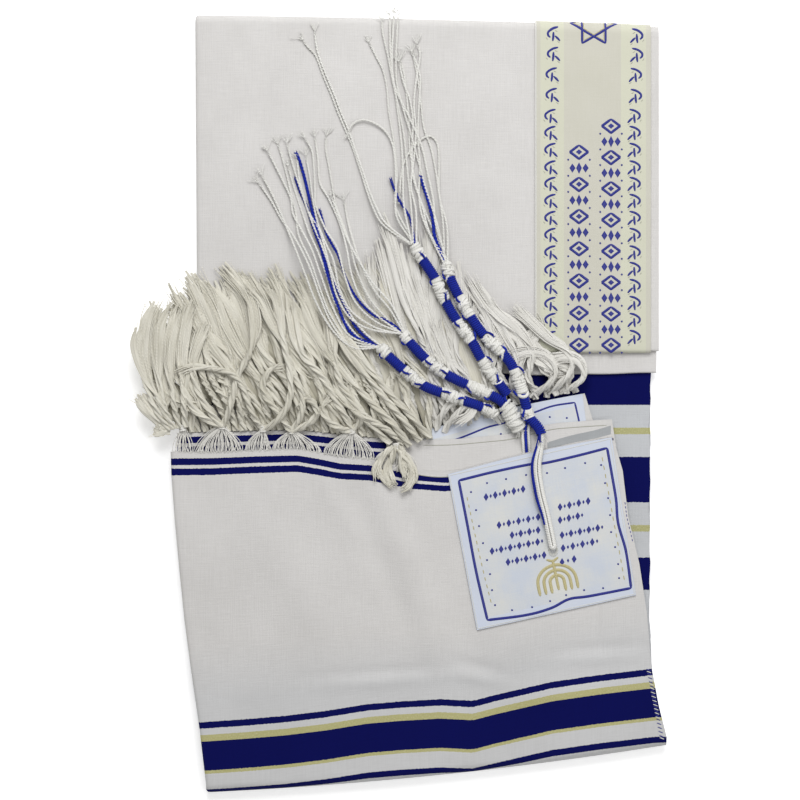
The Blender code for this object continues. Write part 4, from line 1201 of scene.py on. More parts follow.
# Locks that stand out, in the picture's own frame: how far they open (mm), where they start to open
# (share of their length), how high they lie above the fringe, and their route
Strand = namedtuple("Strand", "opened opening rise route")
FRONT_LOCKS = [
    Strand(4.0, 0.1, 0.3, [(170, 430), (158, 412), (149, 388), (146, 352), (149, 322), (158, 303)]),
    Strand(4.0, 0.1, 0.6, [(174, 429), (164, 405), (160, 376), (158, 346), (161, 322), (171, 302)]),
    Strand(3.6, 0.1, 0.9, [(180, 428), (174, 402), (171, 372), (170, 346), (175, 322), (182, 304)]),
    Strand(4.2, 0.1, 0.0, [(168, 431), (157, 419), (146, 404), (138, 394)]),
    Strand(3.4, 0.1, 0.2, [(170, 432), (161, 432), (154, 429)]),
    Strand(3.8, 0.1, 0.5, [(172, 428), (163, 408), (151, 384), (142, 360), (139, 340), (145, 320)]),
    Strand(3.6, 0.1, 1.0, [(186, 427), (184, 398), (183, 372), (182, 346), (186, 322), (193, 300)]),
    Strand(3.0, 0.4, 0.6, [(222, 427), (212, 414), (202, 398), (195, 380), (193, 362), (198, 342),
        (207, 322)]),
    Strand(3.2, 0.5, 1.2, [(222, 427), (229, 412), (234, 394), (238, 376), (248, 358), (256, 334), (254, 306),
        (246, 284)]),
    Strand(2.6, 0.5, 0.2, [(222, 427), (209, 420), (196, 411), (188, 398), (184, 380), (190, 352)]),
    Strand(2.4, 0.7, 1.6, [(263, 429), (254, 416), (247, 398), (242, 384), (230, 373), (210, 368), (190, 368),
        (176, 373)]),
    Strand(3.0, 0.6, 1.8, [(263, 429), (274, 424), (285, 411), (291, 394), (290, 372), (285, 348), (281, 322),
        (276, 298), (268, 282)]),
    Strand(3.0, 0.5, 1.0, [(291, 431), (301, 417), (303, 399), (297, 380), (289, 361), (282, 340), (270, 318),
        (261, 300), (250, 288)]),
    Strand(2.2, 0.8, 0.8, [(291, 431), (283, 420), (275, 408), (266, 397), (263, 384), (270, 371),
        (283, 366)]),
    Strand(2.2, 0.8, 1.0, [(291, 431), (306, 425), (317, 415), (314, 403), (304, 399), (301, 408)]),
    Strand(3.2, 0.5, 0.6, [(352, 431), (345, 415), (335, 400), (327, 384), (317, 370), (304, 357), (297, 338),
        (293, 315), (290, 294)]),
    Strand(3.0, 0.5, 1.1, [(352, 431), (361, 419), (353, 402), (341, 384), (336, 364), (333, 344), (331, 322),
        (326, 298)]),
    Strand(2.4, 0.7, 0.2, [(352, 431), (340, 428), (328, 420), (322, 407), (330, 396)]),
    Strand(2.8, 0.5, 1.4, [(420, 441), (401, 417), (381, 393), (363, 371), (347, 349), (338, 326)]),
    Strand(2.6, 0.5, 0.8, [(410, 446), (394, 425), (374, 405), (355, 385), (340, 366), (325, 348)]),
    Strand(2.6, 0.5, 1.8, [(430, 438), (413, 418), (396, 400), (377, 378), (359, 356), (344, 336),
        (333, 314)]),
    Strand(2.6, 0.5, 0.4, [(390, 444), (373, 426), (353, 409), (338, 393), (330, 376)]),
    Strand(2.4, 0.5, 1.0, [(404, 444), (388, 430), (368, 418), (352, 400), (345, 380)]),
    Strand(2.0, 0.2, -3.2, [(398, 446), (386, 452), (379, 466), (384, 480), (396, 487)]),
    Strand(2.0, 0.2, -2.6, [(398, 446), (404, 458), (411, 472), (408, 486), (400, 490)]),
    Strand(2.6, 0.2, -3.4, [(396, 446), (392, 458), (388, 470), (392, 486)]),
    Strand(2.6, 0.2, -3.4, [(399, 446), (402, 456), (403, 464), (402, 470)]),
    Strand(2.2, 0.2, -3.0, [(394, 447), (382, 458), (376, 470), (379, 480)]),
    Strand(2.2, 0.2, -3.1, [(400, 446), (409, 462), (413, 476), (407, 488)]),
    Strand(1.6, 0.2, -2.2, [(396, 446), (402, 452), (401, 462), (406, 478)]),
]
THIRD_LOCKS = [
    Strand(3.6, 0.2, 1.0, [(228, 420), (224, 380), (216, 345), (206, 318), (197, 296), (187, 276)]),
    Strand(3.6, 0.2, 1.3, [(240, 420), (236, 380), (228, 346), (221, 318), (212, 296), (201, 282)]),
    Strand(3.2, 0.3, 1.6, [(446, 424), (440, 396), (430, 362), (417, 330), (405, 296), (396, 262), (388, 236),
        (380, 214)]),
    Strand(3.0, 0.3, 1.2, [(436, 426), (426, 398), (414, 366), (402, 330), (392, 296), (384, 262),
        (378, 238)]),
    Strand(3.2, 0.3, 0.8, [(456, 424), (450, 396), (440, 362), (430, 328), (420, 300), (410, 274)]),
    Strand(3.0, 0.3, 1.0, [(470, 425), (466, 400), (455, 372), (444, 346), (436, 320)]),
    Strand(3.4, 0.2, 1.0, [(520, 398), (512, 382), (516, 360), (506, 335), (492, 312), (478, 290),
        (468, 272)]),
    Strand(3.4, 0.2, 1.4, [(540, 394), (528, 378), (532, 352), (518, 330), (500, 316), (486, 300)]),
    Strand(3.2, 0.2, 1.8, [(548, 392.5), (560, 384), (572, 368), (566, 350), (548, 338), (530, 322),
        (512, 306)]),
    Strand(3.2, 0.2, 1.2, [(560, 391.5), (574, 386), (584, 376), (580, 362), (566, 356), (548, 360)]),
    Strand(3.0, 0.2, 1.6, [(530, 396), (544, 388), (556, 372), (546, 356), (526, 352), (508, 358)]),
    Strand(2.8, 0.2, 0.8, [(506, 405), (498, 392), (490, 374), (494, 352), (486, 330), (474, 312)]),
    Strand(2.6, 0.3, 2.6, [(444, 432), (452, 420), (462, 408), (472, 402), (470, 414), (456, 424)]),
    Strand(2.6, 0.3, 2.2, [(436, 430), (442, 414), (452, 402), (462, 398), (474, 404)]),
]


def fleece(piece, path, wide, thick, turn, random, number, look):
    """A flat bundle of fibres along a path, with grooves along it, turned about the path as it goes."""
    angle = np.linspace(-0.5 * math.pi, 1.5 * math.pi, 11)
    groove = 1 + 0.17 * random.uniform(-1, 1, len(angle))
    groove[-1] = groove[0]
    _, side, above = frames(path)
    aside = np.cos(angle) * groove * wide[:, None]
    lift = np.sin(angle) * groove * thick[:, None]
    cosine, sine = np.cos(turn)[:, None], np.sin(turn)[:, None]
    grid = (path[:, None] + side[:, None] * (aside * cosine - lift * sine)[..., None]
            + above[:, None] * (aside * sine + lift * cosine)[..., None])
    round_it = number * 13.0 + np.concatenate([[0], np.cumsum(np.abs(np.diff(np.cos(angle)) * 2.2))])
    corners = stacked(run_along(path)[:, None], round_it[None]) * MM
    piece.quads(piece.add(grid), corners, look)


def lock(piece, path, random, number, opened, opening, pale, tight=1.5):
    """A lock of three plies, twisted at its root, that opens into flat combed fibres towards its tip, with
    single threads over them."""
    run = run_along(path)
    share = run / run[-1]
    _, side, above = frames(path)
    loose = smoothstep((share - opening) / max(0.25, 0.75 - opening))
    rate = lerp(random.uniform(0.16, 0.3), 0.02, loose)
    twist = random.uniform(0, 6.28) + np.concatenate([[0], np.cumsum(np.diff(run) * rate[1:])])
    tip = smoothstep((1 - share) / 0.16)
    lanes = random.permutation([-0.62, 0.0, 0.62])
    for ply in range(3):
        turn = twist + ply * math.tau / 3
        drift = random.uniform(0.2, 0.7) * np.sin(share * random.uniform(3, 8) + random.uniform(0, 6.28))
        aside = lerp(tight * 0.62 * np.cos(turn), opened * lanes[ply] + drift, loose)
        lift = lerp(tight * 0.62 * np.sin(turn), (ply - 1) * 0.35 + 0.3 * np.sin(share * 8 + ply), loose)
        wide = lerp(tight * 0.86, opened * random.uniform(0.48, 0.62), loose) * lerp(0.3, 1.0, tip)
        thick = lerp(tight * 0.7, random.uniform(0.6, 0.85), loose) * lerp(0.14, 1.0, tip)
        reach = share * (1 if ply == 1 else random.uniform(0.9, 1.0))
        moved_path = path + side * aside[:, None] + above * lift[:, None]
        body = resampled(moved_path, share, reach)
        flat = math.pi * round(float(turn[-1]) / math.pi)
        fleece(piece, body, wide, thick, lerp(turn, flat, loose), random, number * 3 + ply,
               PALE_COMBED if pale else COMBED)
    paths = []
    for index in range(LOCK_THREADS):
        lane = 2 * (index + 0.5) / LOCK_THREADS - 1
        drift = random.uniform(0.2, 1.0) * np.sin(share * random.uniform(4, 10) + random.uniform(0, 6.28))
        splay = 1.05 + 0.5 * smoothstep((share - 0.8) / 0.2)
        turn = twist + math.tau * index / LOCK_THREADS
        aside = lerp(tight * np.cos(turn), opened * lane * splay + drift, loose)
        over = 0.9 + random.uniform(-0.5, 0.35) * np.sin(share * 9 + lane * 5)
        lift = lerp(tight * np.sin(turn), over, loose)
        thread = path + side * aside[:, None] + above * lift[:, None]
        first, last = random.uniform(opening, opening + 0.25), random.uniform(0.9, 1.0)
        thread = resampled(thread, share, lerp(first, last, share))
        ahead = thread[-1] - thread[-2]
        thread[-1] += ahead / (np.linalg.norm(ahead) + 1e-9) * random.uniform(0, 2.5)
        paths.append(thread)
    radii = 0.36 * (1 - 0.5 * smoothstep((share - 0.8) / 0.2))
    piece.tubes(paths, radii, 4, PALE_THREAD if pale else YARN, first=number * 16)


def droop_at(x, droop):
    return droop * smoothstep((FLANK_X - x) / FLANK_WIDTH)


def placed_lock(piece, strand, start_z, level, random, number, droop, pale):
    """A lock along a route of the picture's own frame."""
    places = picture(*strand.route)
    length = curve_length(places)
    path = smooth_curve(places, np.linspace(0, 1, max(14, round(length / 2.6))))
    share = np.linspace(0, 1, len(path))
    z = lerp(start_z, level + strand.rise, smoothstep(share * length / 14))
    z = z - droop_at(path[:, 0], droop) * smoothstep(share * 2)
    z = z + 0.5 * np.sin(share * 8 + number)
    lock(piece, np.column_stack([path, np.maximum(z, FLOOR_CLEARANCE)]), random, number, opened=strand.opened,
         opening=strand.opening, pale=pale)


def gathered_threads(piece, random):
    """Single threads that leave the front edge and gather in knots, each bound by a turn of yarn."""
    for number, (knot_x, knot_y, first, last) in enumerate(GATHERS):
        (centre_x, centre_y), = picture((knot_x, knot_y))
        knot_z = BOTTOM_SURFACE + 1.9
        count = round((last - first) * 0.95)
        paths = []
        for thread in range(count):
            root_pixel = first + (last - first) * (thread + random.uniform(0.2, 0.8)) / count
            root_x = (root_pixel - PICTURE_CENTRE) * PIXEL
            root_y = float(rounded_edge(FRONT_EDGE, root_x)) + random.uniform(-1.0, 0.2)
            share = np.linspace(0, 1, 12)
            bow = random.normal(0, 1.3) * np.sin(math.pi * share) * (1 - share)
            x = lerp(root_x, centre_x + random.normal(0, 0.7), share ** 2.0) + bow
            y = lerp(root_y, centre_y + random.normal(0, 0.5), share)
            z = lerp(BOTTOM_SURFACE + 0.15, knot_z + random.uniform(-0.6, 0.8), share ** 0.8)
            paths.append(np.column_stack([x, y, z]))
        piece.tubes(paths, 0.3, 4, PALE_THREAD, first=3000 + 100 * number)
        angle = np.linspace(0, math.tau, 17)
        for loop in range(4):
            tilt = random.uniform(-0.6, 0.6)
            ring = np.column_stack([
                centre_x + 1.7 * np.cos(angle),
                centre_y + (loop - 1.5) * 0.9 + tilt * np.cos(angle),
                knot_z + 1.4 * np.sin(angle)])
            piece.tubes(ring, 0.62, 5, PALE_THREAD, first=3900 + 10 * number + loop)


def fan_tip(fan, x):
    """Where the locks of a fan that start at this x end."""
    roots = [row[0] for row in fan]
    return np.interp(x, roots, [row[1] for row in fan]), np.interp(x, roots, [row[2] for row in fan])


def underlay(piece, random, edge, bottom, fan, droop):
    """Wide flat locks that lie below the others, so that they are seen between them. Most carry the darker
    look, painted shade for the gaps between the locks.
    """
    first, last = fan[0][0], fan[-1][0]
    count = round((last - first) / 6.4)
    share = np.linspace(0, 1, 15)
    for number in range(count):
        middle = lerp(first, last, (number + random.uniform(0.3, 0.7)) / count)
        if middle > ROOTS_LIFTED[0][0]:
            break
        root_y = float(rounded_edge(edge, middle)) + STRIP_GAP
        tip_x, tip_y = fan_tip(fan, middle)
        tip_x = max(tip_x + random.normal(0, 3), UNDERLAY_LEFT)
        tip_y = tip_y * random.uniform(0.6, 0.85)
        wave = random.uniform(1, 4) * np.sin(share * random.uniform(3, 7)) * share
        x = lerp(middle, tip_x, share ** 1.3) + wave
        y = lerp(root_y, tip_y, share)
        z = lerp(bottom + CLOTH / 2, TOP_SURFACE + 1.2, smoothstep(share * 4)) + random.uniform(0, 0.5)
        z = np.maximum(z - droop_at(x, droop) * smoothstep(share * 2), 1.2)
        wide = random.uniform(3.0, 4.4) * lerp(0.45, 1.0, smoothstep(share * 2.5))
        wide = wide * lerp(0.5, 1, smoothstep((1 - share) * 6))
        # Painted shade: the darker look, seen between the locks, except on the third edge right of PALE_FROM
        fleece(piece, np.column_stack([x, y, z]), wide, 0.7 + 0 * share, 0 * share, random, 700 + number,
               COMBED if edge is THIRD_EDGE and middle > PALE_FROM else PAINTED_GAP_SHADE)


def fan_locks(piece, random, edge, bottom, fan, level, locks, droop):
    """Locks along the whole of an edge, whose tips spread as the fan says."""
    first, last = fan[0][0], fan[-1][0]
    lane = (last - first) / locks
    third = edge is THIRD_EDGE
    for number in range(locks):
        middle = first + lane * (number + 0.5)
        lifted = np.interp(middle, *ROOTS_LIFTED) if third else 0.0
        root = np.array([middle, float(rounded_edge(edge, middle)) + STRIP_GAP + lifted])
        tip = np.array(fan_tip(fan, middle)) + random.normal(0, 1, 2) * (4, 4)
        tip[0] = max(tip[0], TIP_LEFT)
        length = np.linalg.norm(tip - root)
        share = np.linspace(0, 1, max(17, round(length / 3.3)))
        waves = random.uniform(0.8, 1.8)
        phase = random.uniform(0, math.tau)
        size = random.uniform(1.5, 6.0)
        wave = size * (np.sin(math.tau * waves * share + phase) - math.sin(phase))
        x = np.maximum(lerp(root[0], tip[0], share ** 1.25) + wave * np.minimum(share * 3, 1), LOCK_LEFT)
        y = lerp(root[1], tip[1], share) + 0.4 * size * np.sin(math.tau * waves * 1.3 * share) * share
        z = lerp(bottom + CLOTH / 2, level, smoothstep(share * length / LOCK_RISE))
        z = z + random.uniform(-0.6, 0.8) + 0.5 * np.sin(math.tau * 1.7 * share + phase) * share
        z = z - 0.8 * (level - TOP_SURFACE - 1.6) * smoothstep((share - 0.5) / 0.5)
        z = np.maximum(z - droop_at(x, droop) * smoothstep(share * 2), FLOOR_CLEARANCE)
        lock(piece, np.column_stack([x, y, z]), random, number, tight=random.uniform(1.4, 1.9),
             opened=random.uniform(2.8, 4.8), opening=random.uniform(0.05, 0.4),
             pale=third and middle > PALE_FROM)


def build_fringe(name, edge, bottom, fan, level, locks, droop, seed):
    random = np.random.default_rng(seed)
    piece = Piece()
    front, third = edge is FRONT_EDGE, edge is THIRD_EDGE
    for number, strand in enumerate(FRONT_LOCKS if front else THIRD_LOCKS if third else []):
        start_z = BOTTOM_SURFACE + 2.0 if front else bottom + CLOTH
        pale = third and strand.route[0][0] > PALE_FROM_PIXEL
        placed_lock(piece, strand, start_z, level, random, 1000 + number, droop, pale)
    if front:
        gathered_threads(piece, random)
    else:
        fan_locks(piece, random, edge, bottom, fan, level, locks, droop)
        underlay(piece, random, edge, bottom, fan, droop)
    piece.make(name + "_yarn", FRINGE_LOOKS, "fringe", [name])


# ---- Tzitzit ----

# Kind, x, y and z of each stretch, from the strands to the corner
TZITZIT = {
    "tzitzit_a": [
        ("knot", 8.5, 92.5, 16.8), ("winding", 13.5, 84, 16.8), ("knot", 20.9, 72.8, 16.8),
        ("winding", 27.3, 58.8, 16.8), ("knot", 34, 47.4, 16.8), ("winding", 42.9, 35.1, 16.8),
        ("knot", 48.9, 24.3, 16.8), ("winding", 58.5, 11, 16.6), ("end", 64.3, 3.2, 15.3)],
    "tzitzit_b": [
        ("knot", 28, 81, 16.8), ("winding", 29.8, 73.4, 16.8), ("knot", 35.3, 61.8, 16.8),
        ("winding", 42.3, 49.8, 16.8), ("knot", 50.4, 38.6, 16.8), ("winding", 61.8, 27.6, 16.8),
        ("knot", 68.2, 18.4, 16.8), ("winding", 73.6, 3.6, 16.3), ("knot", 76.0, -5.4, 15.1),
        ("winding", 77.4, -10.4, 14.7), ("threads", 84.6, -20.4, 14.5), ("threads", 82.2, -39, 14.7),
        ("threads", 84, -54, 14.7), ("threads", 87.6, -69, 14.7), ("end", 91.4, -87, 14.65)],
    "tzitzit_c": [
        ("knot", 2, 39.5, 18.8), ("winding", 5.4, 35.1, 18.8), ("knot", 15.6, 24.3, 18.1),
        ("winding", 27.9, 15.3, 17.1), ("knot", 39.6, 9.4, 16.8), ("winding", 54.2, 3, 16.1),
        ("knot", 62.6, -2.6, 14.6), ("threads", 71.2, -17.6, 12.0), ("end", 73.5, -23.5, 7.4)],
    "tzitzit_d": [
        ("knot", -11.5, 31.5, 18.8), ("winding", -7.8, 27.2, 18.8), ("knot", 2.2, 18, 18.8),
        ("winding", 13.2, 9.2, 18.6), ("knot", 24.8, 4.4, 17.4), ("winding", 38.0, -0.2, 15.7),
        ("knot", 49.4, -4.4, 14.3), ("threads", 57.0, -8.6, 11.6), ("end", 62, -15, 6.2)],
}
# Loose ends of the tzitzit in the picture's own frame, from their knot to their tip: colour (0 white,
# 1 blue), thickness against the others, and route
WHITE_END, BLUE_END = range(2)
End = namedtuple("End", "look thickness route")
LOOSE_ENDS = {
    "tzitzit_a": [
        End(0, 1.0, [(400, 236), (384, 226), (374, 210), (367, 191), (361, 172), (353, 148), (346, 131),
            (338, 112), (332, 96), (324, 77), (316, 56), (308, 47), (303, 40)]),
        End(0, 1.0, [(402, 234), (387, 225), (377, 209), (369, 190), (363, 172), (355, 149), (349, 131),
            (341, 112), (335, 96), (327, 77), (319, 56), (316, 42), (315, 31)]),
        End(0, 1.0, [(405, 232), (397, 218), (396, 190), (395, 160), (392, 143), (385, 131), (374, 123),
            (362, 120), (353, 124), (349, 132)]),
        End(0, 1.0, [(406, 232), (396, 208), (397, 176), (394, 143), (389, 112), (387, 88), (383, 70),
            (376, 56), (369, 42)]),
        End(0, 1.1, [(408, 232), (404, 206), (403, 176), (402, 150), (399, 120), (395, 90), (391, 60),
            (390, 34), (390, 16)]),
        End(0, 1.0, [(410, 234), (411, 206), (407, 166), (404, 136), (399, 110), (393, 82), (388, 56),
            (383, 34), (382, 20)]),
        End(1, 1.3, [(412, 236), (411, 222), (406, 211), (400, 202), (396, 193), (393, 186), (390, 177)]),
        End(0, 1.0, [(414, 236), (416, 212), (411, 186), (414, 158), (416, 130), (414, 106), (416, 82),
            (420, 56), (417, 44)]),
    ],
    "tzitzit_b": [
        End(0, 1.0, [(440, 250), (443, 224), (439, 192), (439, 160), (437, 143), (429, 136), (417, 143),
            (406, 158), (401, 176), (400, 196)]),
        End(1, 1.7, [(440, 252), (435, 238), (433, 222), (429, 204), (424, 188), (420, 174)]),
        End(0, 1.1, [(442, 252), (436, 226), (433, 199), (428, 175), (423, 151), (417, 135), (408, 115),
            (399, 97), (393, 80), (392, 56), (393, 34), (394, 14)]),
        End(0, 1.0, [(444, 252), (426, 214), (416, 186), (410, 150), (409, 124), (407, 98), (404, 74),
            (400, 60)]),
        End(0, 1.0, [(446, 252), (424, 222), (419, 196), (420, 166), (418, 136), (419, 104), (420, 76),
            (412, 52)]),
        End(0, 1.0, [(446, 254), (437, 224), (426, 190), (418, 160), (410, 132), (403, 108), (397, 84),
            (396, 60), (397, 36), (398, 16)]),
        End(0, 1.0, [(448, 254), (447, 228), (440, 200), (436, 172), (431, 148), (424, 128), (421, 104),
            (418, 80), (414, 58)]),
        End(0, 1.0, [(440, 254), (430, 234), (422, 206), (413, 176), (412, 150), (413, 122), (410, 100),
            (404, 84), (399, 62)]),
    ],
    "tzitzit_c": [
        End(0, 1.0, [(402, 332), (384, 316), (368, 296), (356, 268), (351, 248), (345, 230), (336, 206),
            (332, 184), (329, 166), (326, 150), (326, 136)]),
        End(0, 1.0, [(400, 332), (380, 318), (362, 300), (352, 276), (347, 250), (340, 224), (329, 199),
            (320, 183), (318, 159), (315, 137)]),
        End(0, 1.0, [(398, 333), (376, 322), (356, 303), (346, 280), (338, 250), (326, 230), (316, 206),
            (315, 190), (314, 168), (312, 151), (305, 138)]),
        End(1, 1.35, [(396, 326), (387, 321), (373, 315), (358, 300), (347, 281), (339, 257), (334, 248),
            (327, 235), (323, 222), (319, 208)]),
        End(0, 1.0, [(400, 336), (376, 328), (352, 312), (340, 290), (334, 262), (326, 244), (318, 224),
            (313, 200), (310, 178), (306, 156)]),
        End(0, 1.0, [(398, 336), (372, 330), (350, 318), (337, 296), (330, 270), (322, 246), (312, 222),
            (303, 196), (295, 172), (291, 158), (287, 143)]),
        End(0, 1.0, [(402, 330), (390, 310), (374, 290), (360, 262), (354, 244), (348, 222), (344, 200)]),
        End(0, 1.0, [(404, 330), (392, 306), (372, 282), (356, 256), (346, 236), (338, 214), (331, 196)]),
    ],
    "tzitzit_d": [
        End(1, 1.5, [(380, 346), (358, 330), (346, 308), (334, 282), (324, 256), (315, 232), (311, 220),
            (307, 207), (300, 191), (295, 176)]),
        End(1, 1.5, [(379, 347), (352, 334), (338, 306), (327, 272), (320, 242), (315, 222), (311, 206),
            (307, 188), (303, 172), (299, 159), (295, 151)]),
        End(0, 1.0, [(378, 348), (350, 336), (334, 310), (322, 278), (312, 250), (302, 231), (293, 214),
            (291, 199), (284, 183), (276, 167), (268, 151)]),
        End(0, 1.0, [(377, 349), (350, 340), (331, 316), (320, 288), (311, 262), (299, 236), (296, 214),
            (292, 198), (288, 180), (283, 160), (278, 144)]),
        End(0, 1.0, [(376, 349), (350, 344), (332, 324), (320, 296), (310, 268), (296, 240), (282, 220),
            (272, 202), (264, 190), (259, 183)]),
        End(0, 1.0, [(376, 350), (354, 348), (334, 332), (318, 306), (306, 276), (296, 250), (286, 226),
            (275, 200), (262, 175)]),
        End(0, 1.0, [(380, 350), (364, 342), (346, 322), (334, 300), (327, 276), (318, 252), (309, 232),
            (300, 206), (293, 184), (288, 166)]),
        End(0, 1.0, [(382, 348), (366, 334), (350, 314), (339, 292), (330, 266), (325, 248), (319, 230),
            (308, 210), (300, 182), (297, 158)]),
    ],
}
# How far the plies of a loose end turn once, and how much of its end is frayed
PLY_PITCH = 4.2
FRAY = 5.0
# y and z of the loose ends of each pair of tzitzit
LONG_HEIGHTS = ([92.5, 112.0, 132.0, 150.0, 228.0, 236.0], [16.8, 14.2, 12.2, 11.3, 11.3, 10.6])
FAN_HEIGHTS = ([30.0, 88.0, 97.0, 106.0, 115.0], [18.6, 18.2, 14.8, 11.8, 11.3])


def coil(piece, path, radius, thread, pitch, look):
    """A thread wound round a path."""
    turns = curve_length(path) / pitch
    share = np.linspace(0, 1, round(turns * 14) + 1)
    centre = smooth_curve(path, share)
    _, side, above = frames(centre)
    angle = math.tau * turns * share
    out = side * np.cos(angle)[:, None] + above * np.sin(angle)[:, None]
    piece.tubes(centre + out * radius, thread, 5, look, facing=out)


def knot(piece, stretch, random, number, size):
    """Two double knots: soft turns of white strand, drawn tight over one another to a rounded lump."""
    ahead, side, above = frames(stretch)
    share = np.linspace(0, 1, len(stretch[::3]))
    piece.tubes(stretch[::3], size - 0.9 - 0.7 * np.abs(2 * share - 1) ** 3, 9, WHITE_END, first=number + 19)
    angle = np.linspace(0, math.tau, 21)
    count = max(5, round(curve_length(stretch) / 1.35))
    for loop in range(count):
        place = 0.05 + 0.9 * loop / (count - 1)
        index = min(int(place * (len(stretch) - 1)), len(stretch) - 1)
        tilt = random.uniform(0.05, 0.4) * (1 if loop % 2 else -1) + (0.6 if loop % 3 == 2 else 0)
        twist = random.uniform(0, math.tau)
        thread = random.uniform(0.85, 1.2)
        radius = (size - thread) * (0.86 + 0.14 * math.sin(math.pi * place)) + random.uniform(-0.15, 0.3)
        path = stretch[index] + (side[index] * np.cos(angle)[:, None]
                                 + above[index] * np.sin(angle)[:, None] * 0.92) * radius
        path = path + ahead[index] * (tilt * radius * np.cos(angle + twist))[:, None]
        piece.tubes(path, thread, 7, WHITE_END, first=number + loop)
    for _ in range(3):
        index = random.integers(2, len(stretch) - 2)
        turn = random.uniform(0, math.tau)
        out = side[index] * math.cos(turn) + above[index] * abs(math.sin(turn))
        tuft(piece, stretch[index] + out * (size - 0.6), out, random, WHITE_END, number + 60, 5, 1.6, 0.6)


def tuft(piece, place, ahead, random, look, number, fibres=9, length=5.0, spread=0.5):
    """The frayed end of a strand."""
    side = np.cross(ahead, UP)
    side /= np.linalg.norm(side) + 1e-9
    share = np.linspace(0, 1, 6)[:, None]
    paths = []
    for _ in range(fibres):
        lean = random.normal(0, spread)
        curl = random.normal(0, 0.25)
        reach = length * random.uniform(0.5, 1.1)
        paths.append(place + ahead * share * reach + side * (lean * share + curl * share ** 2) * reach
                     + UP * random.uniform(-0.25, 0.5) * share)
    piece.tubes(paths, 0.17, 4, look, first=number)


def two_ply(piece, path, look, number, radius):
    """A strand of two twisted plies."""
    length = curve_length(path)
    rings = max(8, round(length / 1.1))
    centre = smooth_curve(path, np.linspace(0, 1, rings))
    _, side, above = frames(centre)
    run = np.linspace(0, length, rings)
    loose = smoothstep((run - length + FRAY) / FRAY)
    for ply in range(2):
        angle = math.tau * run / PLY_PITCH + ply * math.pi
        spread = radius * 0.9 * (1 + 0.8 * loose)
        out = side * (np.cos(angle) * spread)[:, None] + above * (np.sin(angle) * spread)[:, None]
        radii = radius * (1 - 0.4 * loose)
        radii[0] = radii[-1] = 0.05
        piece.tubes(centre + out, radii, 5, look, first=number + ply)
    return centre


def spur(piece, stretch, index, random, number, turn):
    """A frayed end of blue thread that sticks out of a winding."""
    ahead, side, above = frames(stretch)
    out = side[index] * math.cos(turn) + above[index] * math.sin(turn)
    start = stretch[index] + out * 2.6
    way = ahead[index] * (1 if index > len(stretch) / 2 else -1)
    lean = side[index] * random.uniform(-1.6, 1.6)
    path = np.array([start, start + out * 1.2 + way * 1.0, start + out * 1.5 + way * 2.6 + lean * 0.4,
                     start + out * 1.1 + way * 3.8 + lean])
    piece.tubes(smooth_curve(path, np.linspace(0, 1, 9)), 0.68, 6, BLUE_END, first=number)
    tuft(piece, path[-1], way, random, BLUE_END, number + 1, 6, 1.5, 0.6)


def doubled_cord(piece, stretch, name, random):
    """The strands between the last winding and the corner: white ones laid flat in pairs, and a blue one."""
    if len(stretch) < 12:
        return
    path = stretch[::6]
    _, side, _ = frames(path)
    share = np.linspace(0, 1, len(path))[:, None]
    reach = 1.25 * lerp(0.5, 1.0, smoothstep(share * 4))
    ahead = path[-1] - path[-3]
    ahead /= np.linalg.norm(ahead)
    turn = np.radians(np.linspace(0, 180, 9))[1:-1, None]
    for shift, drop, radius in ((0.0, 0.0, 1.22), (-0.35, 0.85, 0.7)):
        lane = reach + shift * np.sign(reach)
        bend_round = path[-1] + side[-1] * np.cos(turn) * lane[-1] + ahead * np.sin(turn) * lane[-1] * 1.5
        strand = np.vstack([path + side * lane, bend_round, (path - side * lane)[::-1]]) + UP * drop
        if name != "tzitzit_b":
            strand = np.vstack([path + side * lane, (path - side * lane)[::-1]]) + UP * drop
        piece.tubes(strand, radius, 8, WHITE_END, first=100 + int(10 * drop))
    toward = 1 if name == "tzitzit_b" else -1
    aside = toward * lerp(1.4, 3.1, smoothstep(share * 3))
    if name == "tzitzit_b":
        aside = lerp(aside, 2.0, smoothstep((share - 0.55) * 4))
    blue = (path + side * aside + UP * 0.25)[:round(len(path) * (0.82 if toward > 0 else 1.0))]
    piece.tubes(blue, 0.95, 7, BLUE_END, first=140)
    if name == "tzitzit_b":
        # The strands that go down beside it and under the patch's top edge
        for lane, look in ((522.4, WHITE_END), (525.4, BLUE_END), (528.4, WHITE_END)):
            places = picture((lane + 1.5, 421), (lane, 430), (lane + 0.6, 444), (lane + 1.6, 456))
            height = BOTTOM_SURFACE + np.array([1.6, 1.0, 0.95, -1.6])
            piece.tubes(smooth_curve(np.column_stack([places, height]), np.linspace(0, 1, 14)), 0.85, 7, look,
                        first=170 + int(lane))
    tuft(piece, stretch[2] + UP * 1.2, stretch[10] - stretch[2], random, WHITE_END, 160, 14, 3.4, 0.8)


